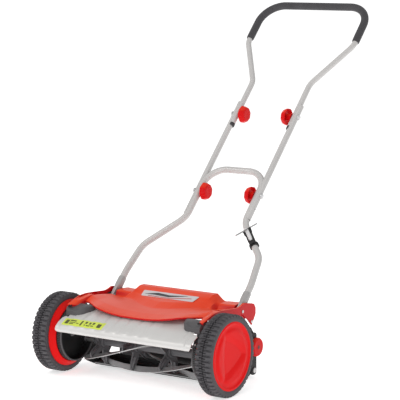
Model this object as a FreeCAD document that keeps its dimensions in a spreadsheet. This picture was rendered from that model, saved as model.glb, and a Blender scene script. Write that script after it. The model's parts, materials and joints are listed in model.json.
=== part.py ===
import FreeCAD, Part
import Sketcher
import math
import os
import re

# Reel mower, 38 cm class. Millimetres. +X is the right-hand side, +Y the rear, +Z up.
# The origin is on the ground, midway between the wheels and straight below their axis.

V = FreeCAD.Vector
doc = FreeCAD.newDocument("reel_mower")
sheet = doc.addObject("Spreadsheet::Sheet", "Sizes")

SIZES = {
    # wheels
    "wheelRadius": 105, "wheelGap": 467, "tyreWidth": 46, "tyreDepth": 17, "treadGroove": 2.5,
    "rimWall": 4, "rimWeb": 4, "hubRadius": 15, "axleRadius": 6, "bushWall": 2, "capDish": 2.5,
    # drive
    "gearModule": 2, "ringTeeth": 73, "pinionTeeth": 11, "gearWidth": 9, "gearSlack": 1.0,
    "gearAddendum": 0.8, "gearDedendum": 1.15, "gearInset": 5,
    # reel
    "reelSetback": 57, "reelRadius": 67.9, "bladeClearance": 15, "reelTwist": 108.7,
    "bladeStart": 29.5, "bladeCount": 5,
    "bladeDepth": 14, "bladeThickness": 2.4, "shaftRadius": 8, "journalRadius": 6,
    "spiderInset": 28, "spiderThickness": 4, "spiderHub": 17, "runningGap": 0.05,
    # side plates
    "drumDepth": 26, "webThickness": 4, "drumRadius": 72.5, "drumWall": 3, "drumFloor": 3.5,
    "wheelClearance": 2.5, "bearingRadius": 10.5,
    # bed knife and tie rod
    "knifeSetback": 70, "knifeGap": 0.5, "knifeDepth": 34, "knifeThickness": 3,
    "carrierThickness": 3, "carrierHeight": 26, "tieRodY": 168, "tieRodRise": 13, "tieRodRadius": 6,
    # deflector and its end clamps
    "sheetWall": 1.5, "deflectorReach": 94, "deflectorRise": 26, "deflectorInset": 2,
    "clampLength": 41, "clampInset": 2,
    # cover
    "coverWall": 2.6, "coverClearance": 4, "coverRise": 95, "ridgeHeight": 19, "ridgeInset": 71,
    "ridgeSlope": 24, "ridgeY": 172, "lipY": 36, "lipDrop": 20,
    # handle
    "pinY": 150, "pinRise": 75, "handleAngle": 45.8, "legClearance": 5, "waistStep": 11.4,
    "neckHalf": 94.5, "waistAt": 175, "neckAt": 281, "archAt": 453, "lowerTube": 9.3,
    "upperTube": 8.1, "middleTube": 8.5, "tubeWall": 1.2, "middleStep": 4.8, "middleFrom": 293,
    "middleTo": 692, "lowerBoltAt": 373.5, "upperBoltAt": 651, "upperFrom": 614.5,
    "shoulderAt": 772.5, "gripFrom": 922, "gripHalf": 176.5, "cornerAt": 1069, "bendRadius": 60,
    "cornerRadius": 68, "gripWall": 2.6, "gripLap": 12, "legFlat": 8, "legWidth": 20,
    "flatTo": 42, "pinRadius": 5, "saddleGap": 0.1, "clampBolt": 3, "knobRadius": 24,
    "knobDepth": 18,
    # roller and height adjuster
    "rollerY": 208, "rollerRadius": 20, "rollerClearance": 9, "rollerAxle": 5, "heightTravel": 20,
    "adjusterDrop": 22, "armWidth": 24, "armThickness": 4, "armRise": 37, "adjusterKnob": 25,
    "adjusterDepth": 14, "adjusterBolt": 4, "armGap": 0.3,
    # catcher clip on the right-hand leg
    "clipAt": 42, "clipWidth": 16, "clipWall": 4, "hookRadius": 2.2, "hookLength": 105,
}
# sizes that follow from those in the sheet: each is a sum of other sizes times a factor
FOLLOWS = {
    "tyreBore": {"wheelRadius": 1, "tyreDepth": -1},
    "webInner": {"wheelGap": 0.5, "wheelClearance": -1, "drumDepth": -1},
    "reelLength": {"webInner": 2, "bladeClearance": -2},
    "spiderPitch": {"reelLength": 1 / 3, "spiderInset": -2 / 3},
    "deflectorHalf": {"webInner": 1, "deflectorInset": -1},
    "coverHalf": {"webInner": 1, "webThickness": 1, "coverClearance": 1},
    "clampOuter": {"coverHalf": 1, "clampInset": -1},
    "clampInner": {"clampOuter": 1, "clampLength": -1},
    "ridgeFoot": {"coverHalf": 1, "ridgeInset": -1},
    "ridgeHalf": {"ridgeFoot": 1, "ridgeSlope": -1},
    "legHalf": {"webInner": 1, "legClearance": -1},
    "legWaist": {"legHalf": 1, "waistStep": -1},
    "middleHalf": {"neckHalf": 1, "middleStep": 1},
    "rollerHalf": {"webInner": 1, "rollerClearance": -1},
    "tieRodZ": {"wheelRadius": 1, "tieRodRise": 1},
    "deflectorEdge": {"wheelRadius": 1, "deflectorRise": 1},
    "coverTop": {"wheelRadius": 1, "coverRise": 1},
    "ridgeTop": {"coverTop": 1, "ridgeHeight": 1},
    "lipZ": {"coverTop": 1, "lipDrop": -1},
    "pinZ": {"wheelRadius": 1, "pinRise": 1},
    "adjusterZ": {"wheelRadius": 1, "adjusterDrop": -1},
    "armTop": {"adjusterZ": 1, "armRise": 1},
}
for row, (alias, number) in enumerate(SIZES.items(), start=1):
    sheet.set(f"A{row}", alias)
    sheet.set(f"B{row}", str(number))
    sheet.setAlias(f"B{row}", alias)
doc.recompute()


def size(name):
    if name in FOLLOWS:
        return sum(factor * size(part) for part, factor in FOLLOWS[name].items())
    return float(getattr(sheet, name))


def linked(text):
    """An expression in which every name points at the sheet."""
    def on_sheet(match):
        name = match[0]
        if name in FOLLOWS:
            terms = [f"{factor} * {part}" for part, factor in FOLLOWS[name].items()]
            return linked("(" + " + ".join(terms) + ")")
        return "Sizes." + name if name in SIZES else name

    return re.sub(r"[A-Za-z]\w*", on_sheet, str(text))


def bind(item, **sizes):
    for name, text in sizes.items():
        item.setExpression(name, linked(text))


def place(item, x=0, y=0, z=0, rotation=None):
    if rotation:
        item.Placement = FreeCAD.Placement(V(0, 0, 0), rotation)
    for axis, text in zip("xyz", (x, y, z)):
        item.setExpression("Placement.Base." + axis, linked(text))


alongX = FreeCAD.Rotation(V(0, 1, 0), 90)
nodes = {}


def node(label, item):
    item.Label = label
    nodes[label] = item
    return item


# places that several pieces share
halfTrack = "(wheelGap / 2)"
drumEnd = "(wheelGap / 2 - wheelClearance)"
webOuter = "(webInner + webThickness)"
gearDistance = "(gearModule * (ringTeeth - pinionTeeth) / 2)"
reelZ = f"(wheelRadius - sqrt({gearDistance}^2 - reelSetback^2))"
knifeTop = f"({reelZ} - sqrt((reelRadius + knifeGap)^2 - (knifeSetback - reelSetback)^2))"
axleZ = "wheelRadius"


# building blocks

def cylinder(name, radius, length, x=0, y=0, z=0, rotation=alongX):
    item = doc.addObject("Part::Cylinder", name)
    bind(item, Radius=radius, Height=length)
    place(item, x, y, z, rotation)
    return item


def box(name, length, width, height, x=0, y=0, z=0):
    item = doc.addObject("Part::Box", name)
    bind(item, Length=length, Width=width, Height=height)
    place(item, x, y, z)
    return item


def fuse(name, *items):
    item = doc.addObject("Part::MultiFuse", name)
    item.Shapes = list(items)
    return item


def cut(name, base, *tools):
    item = doc.addObject("Part::Cut", name)
    item.Base = base
    item.Tool = tools[0] if len(tools) == 1 else fuse(name + "_tools", *tools)
    return item


def group(name, *items):
    item = doc.addObject("Part::Compound", name)
    item.Links = list(items)
    return item


def mirrored(name, source):
    item = doc.addObject("Part::Mirroring", name)
    item.Source = source
    item.Normal = V(1, 0, 0)
    return item


def both(label, make):
    """A piece made for the right-hand side, and its mirror image for the left."""
    right = node(label + "_right", make(label))
    node(label + "_left", mirrored(label + "_left", right))
    return right


def new_sketch(body, plane):
    sketch = body.newObject("Sketcher::SketchObject", body.Name + "_sketch")
    origin = [f for f in body.Origin.OriginFeatures if f.Role == plane][0]
    sketch.AttachmentSupport = (origin, [""])
    sketch.MapMode = "FlatFace"
    return sketch


def outline(sketch, points):
    """A closed polygon whose corners are held at sheet expressions."""
    first = sketch.GeometryCount
    start = [V(10 * math.cos(6.28 * i / len(points)), 10 * math.sin(6.28 * i / len(points)), 0)
             for i in range(len(points))]
    for i, point in enumerate(start):
        sketch.addGeometry(Part.LineSegment(point, start[(i + 1) % len(start)]), False)
    for i in range(len(points)):
        after = first + (i + 1) % len(points)
        sketch.addConstraint(Sketcher.Constraint("Coincident", first + i, 2, after, 1))
    for i, (u, v) in enumerate(points):
        for kind, text in (("DistanceX", u), ("DistanceY", v)):
            number = sketch.addConstraint(Sketcher.Constraint(kind, -1, 1, first + i, 1, 1.0))
            sketch.setExpression(f"Constraints[{number}]", linked(text))


def pad(label, points, thickness, x=0, y=0, z=0, corner=None):
    """A plate lying in YZ, its thickness along X. corner rounds its edges."""
    body = doc.addObject("PartDesign::Body", label)
    sketch = new_sketch(body, "YZ_Plane")
    outline(sketch, points)
    feature = body.newObject("PartDesign::Pad", label + "_pad")
    feature.Profile = sketch
    bind(feature, Length=thickness)
    place(body, x, y, z)
    if corner:
        doc.recompute()
        edges = [f"Edge{i + 1}" for i, edge in enumerate(feature.Shape.Edges)
                 if abs(edge.tangentAt(edge.FirstParameter).x) > 0.99]
        rounded = body.newObject("PartDesign::Fillet", label + "_fillet")
        rounded.Base = (feature, edges)
        bind(rounded, Radius=corner)
    return body


def turned(label, points, x=0, y=0, z=0):
    """A piece turned about an X axis; points are (along X, radius)."""
    body = doc.addObject("PartDesign::Body", label)
    sketch = new_sketch(body, "XY_Plane")
    outline(sketch, points)
    feature = body.newObject("PartDesign::Revolution", label + "_turn")
    feature.Profile = sketch
    feature.ReferenceAxis = (sketch, ["H_Axis"])
    feature.Angle = 360
    place(body, x, y, z)
    return body


def solid(name, shape):
    item = doc.addObject("Part::Feature", name)
    item.Shape = shape
    return item


# wheels

def tyre(label):
    groove = "(tyreWidth / 2)"
    return turned(label, [
        (0, "tyreBore"), ("tyreWidth", "tyreBore"), ("tyreWidth", "wheelRadius - 5"),
        ("tyreWidth - 4", "wheelRadius"), (f"{groove} + 2", "wheelRadius"),
        (f"{groove} + 2", "wheelRadius - treadGroove"), (f"{groove} - 2", "wheelRadius - treadGroove"),
        (f"{groove} - 2", "wheelRadius"), (4, "wheelRadius"), (0, "wheelRadius - 5")],
        x=halfTrack, z=axleZ)


def rim(label):
    """A cup: barrel, web near its outer face and a hub tube."""
    web = "(tyreWidth - 10 - rimWeb)"
    hub_bore = "(axleRadius + runningGap + bushWall)"
    return turned(label, [
        (0, "tyreBore - rimWall"), (0, "tyreBore"), ("tyreWidth - 5", "tyreBore"),
        ("tyreWidth - 5", "tyreBore - rimWall"), (f"{web} + rimWeb", "tyreBore - rimWall"),
        (f"{web} + rimWeb", hub_bore), (4, hub_bore), (4, "hubRadius"),
        (web, "hubRadius"), (web, "tyreBore - rimWall")], x=halfTrack, z=axleZ)


def wheel_cap(label):
    """The dished outer disc, seated on the end of the rim's barrel."""
    return turned(label, [
        ("tyreWidth - 5", 0), ("tyreWidth - 5", "tyreBore - 0.4"), ("tyreWidth", "tyreBore - 0.4"),
        ("tyreWidth", "tyreBore - 7"), ("tyreWidth - capDish", "tyreBore - 10"),
        ("tyreWidth - capDish", 0)], x=halfTrack, z=axleZ)


def wheel_bush(label):
    return turned(label, [
        (4, "axleRadius + runningGap"), (4, "axleRadius + runningGap + bushWall"),
        ("tyreWidth - 9", "axleRadius + runningGap + bushWall"),
        ("tyreWidth - 9", "axleRadius + runningGap")], x=halfTrack, z=axleZ)


def axle(label):
    """Stub axle: a flat head inside the drum floor and a grooved outer end."""
    floor = "(wheelGap / 2 - wheelClearance - drumFloor)"
    end = "(wheelGap / 2 + tyreWidth - 5.5)"
    return turned(label, [
        (f"{floor} - 5", 0), (f"{floor} - 5", "axleRadius + 4"), (floor, "axleRadius + 4"),
        (floor, "axleRadius"), (f"{end} - 3", "axleRadius"), (f"{end} - 3", "axleRadius - 1"),
        (f"{end} - 2", "axleRadius - 1"), (f"{end} - 2", "axleRadius"), (end, "axleRadius"),
        (end, 0)], z=axleZ)


def retaining_ring(label):
    return turned(label, [
        ("tyreWidth - 8.4", "axleRadius - 1"), ("tyreWidth - 8.4", "axleRadius + 3"),
        ("tyreWidth - 7.6", "axleRadius + 3"), ("tyreWidth - 7.6", "axleRadius - 1")],
        x=halfTrack, z=axleZ)


# gears

pressure_angle = math.radians(20)


def tooth_profile(teeth, first_angle, tip, root, sign):
    """Corners of straight-sided teeth. sign is 1 for outward teeth and -1 for inward ones."""
    pitch = size("gearModule") * teeth / 2
    half = (math.pi * size("gearModule") - size("gearSlack")) / 4
    corners = []
    for number in range(teeth):
        centre = first_angle + 2 * math.pi * number / teeth
        wide = half + sign * (pitch - root) * math.tan(pressure_angle)
        narrow = half - sign * (tip - pitch) * math.tan(pressure_angle)
        for radius, offset in ((root, -wide), (tip, -narrow), (tip, narrow), (root, wide)):
            angle = centre + offset / radius
            corners.append(V(0, radius * math.cos(angle), radius * math.sin(angle)))
    return corners


def gear_face(corners):
    return Part.Face(Part.makePolygon(corners + corners[:1]))


# the line from the wheel axis to the reel axis, from +Y towards +Z
gear_distance = size("gearModule") * (size("ringTeeth") - size("pinionTeeth")) / 2
reel_drop = math.sqrt(gear_distance ** 2 - size("reelSetback") ** 2)
mesh_angle = math.atan2(-reel_drop, size("reelSetback"))
reel_centre = V(0, size("reelSetback"), size("wheelRadius") - reel_drop)
wheel_centre = V(0, 0, size("wheelRadius"))


def ring_gear(label):
    """The internal ring: it fills the rim's barrel up to the roots of its teeth."""
    teeth = int(size("ringTeeth"))
    module = size("gearModule")
    pitch = module * teeth / 2
    outer = Part.makeCircle(size("tyreBore") - size("rimWall"), V(0, 0, 0), V(1, 0, 0))
    corners = tooth_profile(teeth, mesh_angle + math.pi / teeth, pitch - size("gearAddendum") * module,
                            pitch + size("gearDedendum") * module, -1)
    face = Part.Face([Part.Wire([outer]), Part.makePolygon(corners + corners[:1])])
    face.validate()
    start = size("wheelGap") / 2 + size("gearInset")
    item = solid(label, face.extrude(V(size("gearWidth"), 0, 0)))
    item.Placement.Base = wheel_centre + V(start, 0, 0)
    return item


def pinion(label):
    teeth = int(size("pinionTeeth"))
    module = size("gearModule")
    pitch = module * teeth / 2
    corners = tooth_profile(teeth, mesh_angle, pitch + size("gearAddendum") * module,
                            pitch - size("gearDedendum") * module, 1)
    wheel = gear_face(corners).extrude(V(size("gearWidth"), 0, 0))
    bore = Part.makeCylinder(size("journalRadius") + size("runningGap"), size("gearWidth"),
                             V(0, 0, 0), V(1, 0, 0))
    item = solid(label, wheel.cut(bore))
    item.Placement.Base = reel_centre + V(size("wheelGap") / 2 + size("gearInset"), 0, 0)
    return item


# reel

pinion_end = "(wheelGap / 2 + gearInset + gearWidth)"
bearingFace = "(wheelGap / 2 - wheelClearance - 12)"


def reel_shaft(label):
    """The thick middle runs between the bearings; the journals carry the pinions."""
    half = [(bearingFace, "shaftRadius"), (bearingFace, "journalRadius"),
            (f"{pinion_end} + 3", "journalRadius")]
    left = [(f"-{x}" if x == bearingFace else f"-({x})", r) for x, r in reversed(half)]
    body = turned(label + "_bar", [(f"-({pinion_end} + 3)", 0)] + left + half
                  + [(f"{pinion_end} + 3", 0)], y="reelSetback", z=reelZ)
    holes = [cylinder(f"{label}_hole_{side}", 2.05, 30, f"{sign}(wheelGap / 2 + gearInset + gearWidth / 2)",
                      "reelSetback", f"{reelZ} - 15", FreeCAD.Rotation())
             for side, sign in (("right", ""), ("left", "-"))]
    return cut(label, body, *holes)


def drive_pawls(label):
    """Cross pins that slide in the shaft ends, drawn back inside the pinion bores."""
    pins = [cylinder(f"{label}_{side}", 2, "2 * journalRadius - 1.4",
                     f"{sign}(wheelGap / 2 + gearInset + gearWidth / 2)", "reelSetback",
                     f"{reelZ} - journalRadius + 0.7", FreeCAD.Rotation())
            for side, sign in (("right", ""), ("left", "-"))]
    return group(label, *pins)


def blade(number):
    """One helical blade: its radial section turns evenly about the reel axis."""
    steps = 16
    length = size("reelLength")
    outer, inner = size("reelRadius"), size("reelRadius") - size("bladeDepth")
    half = size("bladeThickness") / 2
    sections = []
    for step in range(steps + 1):
        share = step / steps
        turn = size("bladeStart") + size("reelTwist") * share
        angle = math.radians(turn + 360 * number / size("bladeCount"))
        out = V(0, -math.cos(angle), math.sin(angle))
        side = V(0, math.sin(angle), math.cos(angle))
        middle = V(length * (share - 0.5), 0, 0)
        reach = math.sqrt(outer ** 2 - half ** 2)
        corners = [middle + out * r + side * s
                   for r, s in ((inner, -half), (reach, -half), (reach, half), (inner, half))]
        sections.append(Part.makePolygon(corners + corners[:1]))
    return Part.makeLoft(sections, True, False)


blades = [blade(number) for number in range(int(size("bladeCount")))]


def reel_blades(label):
    item = solid(label, Part.makeCompound(blades))
    item.Placement.Base = reel_centre
    return item


def reel_spiders(label):
    """Four stars with a lobe under each blade, slotted to take it."""
    count = int(size("bladeCount"))
    pitch = size("spiderPitch")
    thick = size("spiderThickness")
    hub, tip = size("spiderHub"), size("reelRadius") - size("bladeDepth") / 2
    stars = []
    for position in (-1.5, -0.5, 0.5, 1.5):
        x = position * pitch
        corners = []
        turn = size("bladeStart") + size("reelTwist") * (x / size("reelLength") + 0.5)
        for lobe in range(count):
            for offset, radius in ((-36, hub + 3), (-12, hub + 15), (-9, tip), (7, tip), (12, hub + 15)):
                angle = math.radians(turn + 360 * lobe / count + offset)
                corners.append(V(x - thick / 2, -radius * math.cos(angle), radius * math.sin(angle)))
        star = Part.Face(Part.makePolygon(corners + corners[:1])).extrude(V(thick, 0, 0))
        collar = Part.makeCylinder(hub, 3 * thick, V(x - 1.5 * thick, 0, 0), V(1, 0, 0))
        bore = Part.makeCylinder(size("shaftRadius"), 4 * thick, V(x - 2 * thick, 0, 0), V(1, 0, 0))
        stars.append(star.fuse(collar).cut(bore).cut(blades))
    item = solid(label, Part.makeCompound(stars))
    item.Placement.Base = reel_centre
    return item


# side plates

def side_plate(label):
    """A drum that closes the wheel's gear, and a web that reaches back to the roller."""
    drum = cylinder(label + "_drum", "drumRadius", f"{drumEnd} - webInner", "webInner", 0, axleZ)
    web = pad(label + "_web", [
        (0, "wheelRadius - 40"), (0, "wheelRadius + 55"), (40, "wheelRadius + 68"),
        (110, "pinZ - 2"), ("pinY - 12", "pinZ + 12"), ("pinY + 8", "pinZ + 14"),
        ("pinY + 24", "pinZ - 30"), ("rollerY - 8", "pinZ - 46"), ("rollerY + 11", "pinZ - 70"),
        ("rollerY + 12", "adjusterZ - 14"), ("rollerY - 4", "adjusterZ - 24"),
        ("pinY", "adjusterZ - 38"), ("knifeSetback + 52", "wheelRadius - 96"),
        ("knifeSetback + 4", "wheelRadius - 96"), ("reelSetback - 17", "wheelRadius - 81")],
        "webThickness", x="webInner")
    hollow = cylinder(label + "_hollow", "drumRadius - drumWall",
                      f"{drumEnd} - webInner - drumFloor + 1", "webInner - 1", 0, axleZ)
    shell = cut(label + "_shell", fuse(label + "_blank", drum, web), hollow)
    reel_boss = cylinder(label + "_reel_boss", "bearingRadius + 3", 11.5, f"{drumEnd} - 11.5",
                         "reelSetback", reelZ)
    axle_boss = cylinder(label + "_axle_boss", "axleRadius + 7", "drumFloor", f"{drumEnd} - drumFloor",
                         0, axleZ)
    shaft_way = cylinder(label + "_shaft_way", "shaftRadius + 2", f"{drumEnd} - webInner - 10",
                         "webInner - 1", "reelSetback", reelZ)
    whole = fuse(label + "_whole", cut(label + "_open_shell", shell, shaft_way), reel_boss, axle_boss)
    holes = [
        cylinder(label + "_bearing_hole", "bearingRadius", 14, f"{drumEnd} - 13", "reelSetback", reelZ),
        cylinder(label + "_axle_hole", "axleRadius", 14, f"{drumEnd} - 13", 0, axleZ),
        cylinder(label + "_pin_hole", "pinRadius", 10, "webInner - 2", "pinY", "pinZ"),
        cylinder(label + "_rod_hole", 4, 10, "webInner - 2", "tieRodY", "tieRodZ"),
        cylinder(label + "_adjuster_hole", "adjusterBolt", 10, "webInner - 2", "rollerY", "adjusterZ"),
        cylinder(label + "_knife_hole_1", 3, 10, "webInner - 2", "knifeSetback + 14",
                 f"{knifeTop} + 10"),
        cylinder(label + "_knife_hole_2", 3, 10, "webInner - 2", "knifeSetback + 38",
                 f"{knifeTop} + 10"),
    ]
    return cut(label, whole, *holes)


def reel_bearing(label):
    """A flanged bush in the drum floor; the thick part of the shaft stands off it."""
    return turned(label, [
        (f"{bearingFace} + 0.5", "journalRadius + runningGap"),
        (f"{bearingFace} + 0.5", "bearingRadius"), (f"{drumEnd} + 0.5", "bearingRadius"),
        (f"{drumEnd} + 0.5", "journalRadius + runningGap")], y="reelSetback", z=reelZ)


# bed knife, tie rod

def bed_knife(label):
    return pad(label, [
        ("knifeSetback", knifeTop), ("knifeSetback + 4", f"{knifeTop} + 0.2"),
        ("knifeSetback + knifeDepth", f"{knifeTop} + 0.2"),
        ("knifeSetback + knifeDepth", f"{knifeTop} - knifeThickness"),
        ("knifeSetback + 2", f"{knifeTop} - knifeThickness")],
        "2 * webInner - 0.6", x="0.3 - webInner")


def knife_carrier(label):
    """An angle below and behind the knife, with an end cheek against each side plate."""
    low = f"({knifeTop} - knifeThickness)"
    back = "(knifeSetback + knifeDepth + 8)"
    angle = pad(label + "_angle", [
        ("knifeSetback + 3", low), (f"{back} - carrierThickness", low),
        (f"{back} - carrierThickness", f"{low} + carrierHeight"), (back, f"{low} + carrierHeight"),
        (back, f"{low} - carrierThickness"), ("knifeSetback + 5", f"{low} - carrierThickness")],
        "2 * webInner", x="-webInner")
    cheeks = []
    for side, x in (("right", "webInner - carrierThickness"), ("left", "-webInner")):
        cheek = pad(f"{label}_cheek_{side}", [
            ("knifeSetback + 6", f"{knifeTop} + 0.4"), (f"{back} - carrierThickness", f"{knifeTop} + 0.4"),
            (f"{back} - carrierThickness", f"{low} + carrierHeight"),
            ("knifeSetback + 12", f"{low} + carrierHeight")], "carrierThickness", x=x)
        cheeks.append(cheek)
    holes = [cylinder(f"{label}_hole_{number}", 3, "2 * webInner + 4", "-webInner - 2",
                      f"knifeSetback + {reach}", f"{knifeTop} + 10")
             for number, reach in enumerate((14, 38), start=1)]
    return cut(label, fuse(label + "_body", angle, *cheeks), *holes)


def hex_bolt(name, radius, grip, y, z, x, sign):
    """Shank along X from x, its head outside, sign 1 for the right-hand side."""
    grip = f"({grip})"
    shank = cylinder(name + "_shank", radius, grip, x if sign > 0 else f"-({x}) - {grip}", y, z)
    head = doc.addObject("Part::Prism", name + "_head")
    head.Polygon = 6
    bind(head, Circumradius=f"2 * {radius}", Height=f"1.2 * {radius}")
    place(head, f"({x}) + {grip}" if sign > 0 else f"-({x}) - {grip} - 1.2 * {radius}", y, z, alongX)
    return fuse(name, shank, head)


def knife_bolts(label):
    bolts = []
    for sign in (1, -1):
        for reach in (14, 38):
            bolts.append(hex_bolt(f"{label}_{len(bolts)}", 3, "carrierThickness + webThickness",
                                  f"knifeSetback + {reach}", f"{knifeTop} + 10",
                                  "webInner - carrierThickness", sign))
    return group(label, *bolts)


def tie_rod(label):
    rod = cylinder(label + "_rod", "tieRodRadius", "2 * webInner", "-webInner", "tieRodY", "tieRodZ")
    spigot = cylinder(label + "_spigot", 4, f"2 * {webOuter} + 8", f"-({webOuter} + 4)",
                      "tieRodY", "tieRodZ")
    return fuse(label, rod, spigot)


def tie_rod_nuts(label):
    nuts = []
    for side, x in (("right", webOuter), ("left", f"-{webOuter} - 3.5")):
        nut = doc.addObject("Part::Prism", f"{label}_{side}_hex")
        nut.Polygon = 6
        bind(nut, Circumradius="7", Height="3.5")
        place(nut, x, "tieRodY", "tieRodZ", alongX)
        bore = cylinder(f"{label}_{side}_bore", 4, 5.5, f"{x} - 1", "tieRodY", "tieRodZ")
        nuts.append(cut(f"{label}_{side}", nut, bore))
    return group(label, *nuts)


# deflector, clamps, cover

def deflector(label):
    """A curved sheet ahead of the reel, with end cheeks and ears screwed to the drums."""
    y, z = "-deflectorReach", "deflectorEdge"
    outside = [(6, -5), (0, 0), (3, 11), (14, 20), (51, 34), (84, 44), (114, 50)]
    inside = [(114, 50), (84, 44), (51, 34), (15, 20), (4.6, 10.4), (1.8, 0.4), (6.4, -3.4)]
    corners = [(f"{y} + {a}", f"{z} + {b}") for a, b in outside]
    corners += [(f"{y} + {a}" + ("" if n > 3 else " + 0.4"), f"{z} + {b}"
                 + ("" if n > 3 else " - sheetWall")) for n, (a, b) in enumerate(inside)]
    sheet_part = pad(label + "_sheet", corners, "2 * deflectorHalf", x="-deflectorHalf")
    pieces = [sheet_part]
    for side, cheek_x, ear_x in (("right", "deflectorHalf - 2", "deflectorHalf - 2"),
                                 ("left", "-deflectorHalf", "-deflectorHalf - 16")):
        pieces.append(pad(f"{label}_cheek_{side}", [
            (f"{y} + 5", f"{z} - 3"), (f"{y} + 2", f"{z} + 1"), (f"{y} + 4", f"{z} + 9"),
            (f"{y} + 14", f"{z} + 18.5"), (f"{y} + 51", f"{z} + 32.5"), (f"{y} + 46", f"{z} + 24"),
            (f"{y} + 26", f"{z} + 8"), (f"{y} + 22", f"{z} - 4")], 2, x=cheek_x))
        ear = box(f"{label}_ear_{side}", 18, 1.8, 20)
        turn = FreeCAD.Rotation(V(1, 0, 0), 154)
        base = wheel_centre + turn.multVec(V(0, size("drumRadius") + 0.3, -10))
        place(ear, ear_x, base.y, f"wheelRadius + {base.z - wheel_centre.z}", turn)
        pieces.append(ear)
    return fuse(label, *pieces)


def deflector_screws(label):
    """Pan-head screws through the ears into the drums."""
    screws = []
    turn = FreeCAD.Rotation(V(1, 0, 0), 154)
    lean = turn.multiply(FreeCAD.Rotation(V(1, 0, 0), -90))
    for side, sign in (("right", ""), ("left", "-")):
        base = turn.multVec(V(0, size("drumRadius") + 2.1, 0))
        head = cylinder(f"{label}_{side}", 3.5, 2, f"{sign}(deflectorHalf + 9)", base.y,
                        f"wheelRadius + {base.z}", lean)
        screws.append(head)
    return group(label, *screws)


def end_clamp(label):
    """A moulded block over the end of the deflector, cut away round the drum."""
    block = pad(label + "_block", [
        ("-lipY - 7", "lipZ - 14.6"), ("-lipY - 10", "lipZ - 8"), ("-lipY - 6", "lipZ + 5"),
        ("22 - lipY", "lipZ + 7"), ("24 - lipY", "lipZ - 4.8")],
        "clampOuter - clampInner", x="clampInner", corner=1.5)
    drum = cylinder(label + "_drum", "drumRadius + 0.3", "clampOuter - clampInner + 4",
                    "clampInner - 2", 0, axleZ)
    socket = cylinder(label + "_socket", 4, 10, "clampOuter - 9", "-lipY - 8", "lipZ - 2",
                      FreeCAD.Rotation(V(1, 0, 0), -90))
    return cut(label, block, drum, socket)


def top_cover(label):
    """A moulded shell with end walls, a raised ridge, two rear lugs and a slot for each leg."""
    top, wall = "coverTop", "coverWall"
    shell = cut(label + "_shell", pad(label + "_outer", [
        ("-lipY", "lipZ"), ("-lipY - 4", "lipZ + 6"), ("-lipY + 8", "lipZ + 12"),
        (20, f"{top} - 2"), (90, top), (180, top), ("rollerY - 1", f"{top} - 3"),
        ("rollerY + 6", f"{top} - 30"), ("rollerY - 12", f"{top} - 58"),
        ("rollerY - 20", f"{top} - 52"), ("pinY", "lipZ - 1")],
        "2 * coverHalf", x="-coverHalf"),
        pad(label + "_inner", [
            (f"{wall} - lipY", 100), (f"{wall} - lipY", "lipZ + 1"),
            (f"{wall} - lipY - 3.5", "lipZ + 5.6"), (f"{wall} - lipY + 6.6", f"lipZ + 12 - {wall}"),
            (20, f"{top} - 2 - {wall}"), (90, f"{top} - {wall}"), (180, f"{top} - {wall}"),
            (f"rollerY - 1 - {wall}", f"{top} - 3 - {wall}"),
            (f"rollerY + 6 - {wall} - 0.2", f"{top} - 30"), ("rollerY - 15", f"{top} - 58"),
            ("rollerY - 22", 100)],
            f"2 * coverHalf - 2 * {wall}", x=f"{wall} - coverHalf"))
    lugs = [pad(f"{label}_lug_{side}", [
        (158, f"{top} - 4"), (166, f"{top} + 4"), ("rollerY - 3", f"{top} + 1"),
        ("rollerY", f"{top} - 6")], wall, x=x)
        for side, x in (("right", f"coverHalf - {wall}"), ("left", "-coverHalf"))]
    ridge = ridge_block(label + "_ridge", 0)
    ridge_hollow = ridge_block(label + "_ridge_hollow", wall)
    whole = fuse(label + "_whole", shell, ridge, *lugs)
    tools = [ridge_hollow]
    for side, sign in (("right", 1), ("left", -1)):
        slot_x = "legHalf - 12" if sign > 0 else "-(legHalf + 10)"
        tools.append(box(f"{label}_slot_{side}", 22, 60, 40, slot_x, 128, f"{top} - 30"))
        notch_x = "clampInner - 2" if sign > 0 else "-coverHalf - 1"
        tools.append(box(f"{label}_notch_{side}", "coverHalf - clampInner + 3", 50, 30, notch_x,
                         "-lipY - 12", "lipZ - 22"))
    return cut(label, whole, *tools)


def ridge_block(name, inset):
    """The raised middle of the cover: a block that narrows upwards, inset by a wall."""
    block = doc.addObject("Part::Wedge", name)
    step = f"2.2 * {inset}"
    bind(block, Xmin=f"-ridgeFoot + {step}", Xmax=f"ridgeFoot - {step}",
         X2min=f"-ridgeHalf + {inset}", X2max=f"ridgeHalf - {inset}",
         Zmin=f"-ridgeY - 20 + {step}", Zmax=f"-96 - {step}",
         Z2min=f"-ridgeY - 10 + {inset}", Z2max=f"-ridgeY + 10 - {inset}",
         Ymin="0", Ymax=f"ridgeTop - coverTop + 1 - {inset}" if inset == 0
         else f"ridgeTop - coverTop + 6 - {inset}")
    place(block, 0, 0, "coverTop - 1" if inset == 0 else "coverTop - 6",
          FreeCAD.Rotation(V(1, 0, 0), 90))
    return block


def label_plate(label):
    """A thin plate on the ridge's front slope."""
    rise, run = size("ridgeTop") - size("coverTop"), size("ridgeY") - 10 - 96
    slope = math.degrees(math.atan2(rise + 1, run))
    plate = box(label + "_blank", 180, 34, 0.8)
    turn = FreeCAD.Rotation(V(1, 0, 0), slope)
    foot = V(0, 112, size("coverTop") - 1 + (112 - 96) * (rise + 1) / run)
    base = foot + turn.multVec(V(-90, 0, 0.02))
    place(plate, base.x, base.y, base.z, turn)
    return plate


def cover_screws(label):
    """Screws through the cover's end walls into the webs."""
    screws = []
    for sign in (1, -1):
        for y, z in (("pinY", "pinZ + 6"), ("rollerY - 14", "pinZ - 28")):
            x = "coverHalf" if sign > 0 else "-coverHalf - 2"
            screws.append(cylinder(f"{label}_{len(screws)}", 4, 2, x, y, z))
    return group(label, *screws)


# handle

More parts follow.
